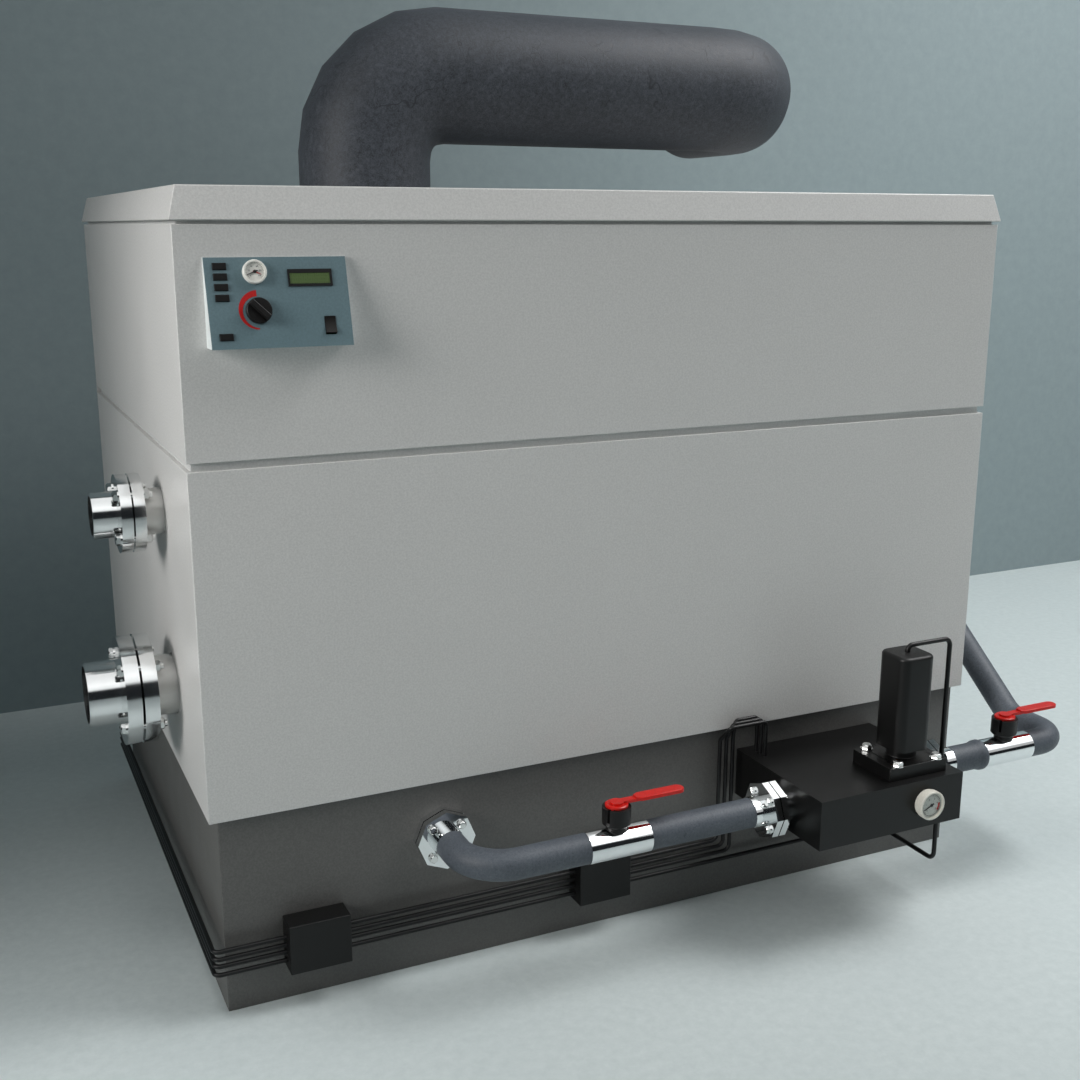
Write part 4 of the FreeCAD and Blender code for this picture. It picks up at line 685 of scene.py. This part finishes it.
# ---------------------- pressure gauge dial, facing the front (millimetres)
GAUGE = Face((422.0, -735.5, 228.0), right=(1, 0, 0), up=(0, 0, 1), out=(0, -1, 0))
RING_INNER = 18.0
slab("gauge_dial", GAUGE, circle(21.4), low=0.02, high=0.30, material=DIAL_GREY)
band("gauge_ring", GAUGE, circle(RING_INNER), circle(18.7), low=0.25, high=0.45,
     material=INK, closed=True)
ticks("gauge_ticks", GAUGE, (0, 0), inner=15.2, outer=RING_INNER, count=31, width=0.45,
      low=0.25, high=0.42, material=INK)
numerals("gauge_numbers", GAUGE, (0, 0), radius=11.8, values=range(6), size=5.0,
         low=0.25, high=0.42, material=INK)
band("gauge_red_zone", GAUGE, arc(13.8, start=8, end=-40, count=17),
     arc(17.2, start=8, end=-40, count=17), low=0.24, high=0.40, material=INK_RED)

# ------------------------------------------------------------ floor, wall
REACH = 9  # the floor and the wall extend this far from the middle
WALL_Y, WALL_HEIGHT = 1.0, 6


def stage_plane(name, verts, material):
    mesh = bpy.data.meshes.new(name)
    mesh.from_pydata(verts, [], [(0, 1, 2, 3)])
    mesh.update()
    obj = link_object(name, mesh)
    mesh.materials.append(material)


def floor_material():
    mat = Mat("floor_pale")
    grain = mat.noise(scale=55, detail=4, rough=0.7)
    slow = mat.noise(scale=1.6, detail=3, rough=0.6)
    color = mat.mix(mat.range(grain), linear((207, 217, 217)), linear((219, 228, 228)))
    color = mat.mix(mat.range(slow, to=(0.0, 0.25)), color, linear((199, 211, 213)))
    fine = mat.noise(scale=420, detail=3, rough=0.6)
    return mat.set(color=color, rough=mat.range(grain, to=(0.62, 0.75)), spec=0.3,
                   normal=mat.bump(fine, strength=0.12, dist=0.0006))


def wall_material():
    """Grey from the front, clear from behind."""
    mat = Mat("wall_grey")
    color = mat.mix(mat.range(mat.noise(scale=30, detail=4, rough=0.7)),
                    linear((141, 155, 158)), linear((149, 162, 165)))
    fine = mat.noise(scale=240, detail=3, rough=0.6)
    mat.set(color=color, rough=0.8, spec=0.3,
            normal=mat.bump(fine, strength=0.12, dist=0.0006))
    geometry = mat.add("ShaderNodeNewGeometry")
    clear = mat.add("ShaderNodeBsdfTransparent")
    sides = mat.add("ShaderNodeMixShader")
    mat.link(geometry.outputs["Backfacing"], sides.inputs[0])
    mat.link(mat.bsdf.outputs[0], sides.inputs[1])
    mat.link(clear.outputs[0], sides.inputs[2])
    mat.link(sides.outputs[0], mat.out.inputs[0])
    return mat.material


stage_plane("floor", [(-REACH, -REACH, 0), (REACH, -REACH, 0), (REACH, REACH, 0),
                      (-REACH, REACH, 0)], floor_material())
stage_plane("wall", [(-REACH, WALL_Y, 0), (REACH, WALL_Y, 0), (REACH, WALL_Y, WALL_HEIGHT),
                     (-REACH, WALL_Y, WALL_HEIGHT)], wall_material())

# ------------------------------------------------------------------ world
# what glossy rays see, from straight down (0) through the horizon (0.5) to straight up (1)
MIRROR_STOPS = [
    (0.0, (0.40, 0.44, 0.45, 1)),
    (0.44, (0.34, 0.38, 0.39, 1)),
    (0.462, (0.012, 0.014, 0.016, 1)),  # dark band around the horizon
    (0.72, (0.016, 0.018, 0.02, 1)),
    (0.77, (1.02, 1.05, 1.05, 1)),  # bright ceiling
    (0.86, (1.28, 1.30, 1.30, 1)),
    (1.0, (0.95, 0.97, 0.97, 1)),
]


def build_world():
    """Weak ambient light, a ceiling for reflections and a plain backdrop for the camera."""
    world = bpy.data.worlds.new("studio")
    scene.world = world
    world.use_nodes = True
    world.node_tree.nodes.clear()
    add, link = world.node_tree.nodes.new, world.node_tree.links.new
    output = add("ShaderNodeOutputWorld")
    coords = add("ShaderNodeTexCoord")
    split = add("ShaderNodeSeparateXYZ")
    link(coords.outputs["Generated"], split.inputs[0])
    height = add("ShaderNodeMapRange")
    height.inputs["From Min"].default_value = -1.0
    height.inputs["From Max"].default_value = 1.0
    link(split.outputs[2], height.inputs[0])
    ramp = add("ShaderNodeValToRGB")
    link(height.outputs[0], ramp.inputs[0])
    fill_ramp(ramp, MIRROR_STOPS)

    def backdrop(strength, color=None):
        node = add("ShaderNodeBackground")
        if color:
            node.inputs[0].default_value = color
        node.inputs[1].default_value = strength
        return node

    mirror = backdrop(strength=1.0)
    link(ramp.outputs[0], mirror.inputs[0])
    ambient = backdrop(strength=0.10, color=(0.80, 0.92, 0.95, 1))
    plain = backdrop(strength=0.75, color=(0.33, 0.40, 0.42, 1))
    path = add("ShaderNodeLightPath")
    shader = ambient
    for ray, other in (("Is Glossy Ray", mirror), ("Is Camera Ray", plain)):
        choice = add("ShaderNodeMixShader")
        link(path.outputs[ray], choice.inputs[0])
        link(shader.outputs[0], choice.inputs[1])
        link(other.outputs[0], choice.inputs[2])
        shader = choice
    link(shader.outputs[0], output.inputs[0])


build_world()


# ----------------------------------------------------------------- lights
def area(name, at, to, size, power, color=(1, 1, 1), spread=180):
    """A square area light aimed at a point."""
    light = bpy.data.lights.new(name, "AREA")
    light.shape = "RECTANGLE"
    light.size = size
    light.size_y = size
    light.energy = power
    light.color = color
    light.spread = math.radians(spread)
    obj = link_object(name, light)
    aim = (Vector(to) - Vector(at)).normalized()
    obj.rotation_euler = aim.to_track_quat("-Z", "Y").to_euler()
    obj.location = at
    return obj


area("side_key", at=(-2.8, -1.15, 1.7), to=(-0.7, -0.64, 0.99), size=1.2, power=6.0,
     color=(1.0, 0.985, 0.965), spread=50)
area("right_front", at=(3.0, -3.6, 2.6), to=(0.4, -0.3, 0.5), size=2.6, power=10.0,
     color=(0.99, 0.995, 1.0))
area("right", at=(3.6, -0.9, 2.4), to=(0.6, -0.2, 0.4), size=2.2, power=11.0,
     color=(0.98, 0.99, 1.0))
area("overhead", at=(2.4, -1.0, 3.6), to=(1.4, -0.6, 0.0), size=2.0, power=104.0)
floor_fill = area("floor_fill", at=(-1.15, -0.7, 1.6), to=(-1.15, -0.7, 0.0), size=0.6,
                  power=1.05, spread=60)
floor_fill.visible_glossy = False
# behind the wall: lifts the back for views from there, never reaches the front
area("back_soft", at=(0.6, 3.4, 2.0), to=(0.1, 0.3, 0.8), size=2.4, power=60.0,
     color=(0.98, 0.99, 1.0))

# ----------------------------------------------------------------- camera
CAMERA_AT = (-0.99882346786, -2.26379023153, 1.15390067344)
CAMERA_AXES = (  # right, up and backward
    (0.9066735899830705, -0.42183283178279335, 0.00025151008081797377),
    (0.09846259376714711, 0.21221194143664057, 0.9722505898894266),
    (-0.4101805929780893, -0.8814891683632883, 0.23394171753311044),
)
lens = bpy.data.cameras.new("camera")
lens.sensor_fit = "HORIZONTAL"
lens.sensor_width = 36.0
lens.lens = 43.529247
lens.clip_start = 0.05
lens.clip_end = 100.0
camera = link_object("camera", lens)
camera.matrix_world = (Matrix.Translation(CAMERA_AT)
                       @ Matrix(CAMERA_AXES).transposed().to_4x4())
scene.camera = camera
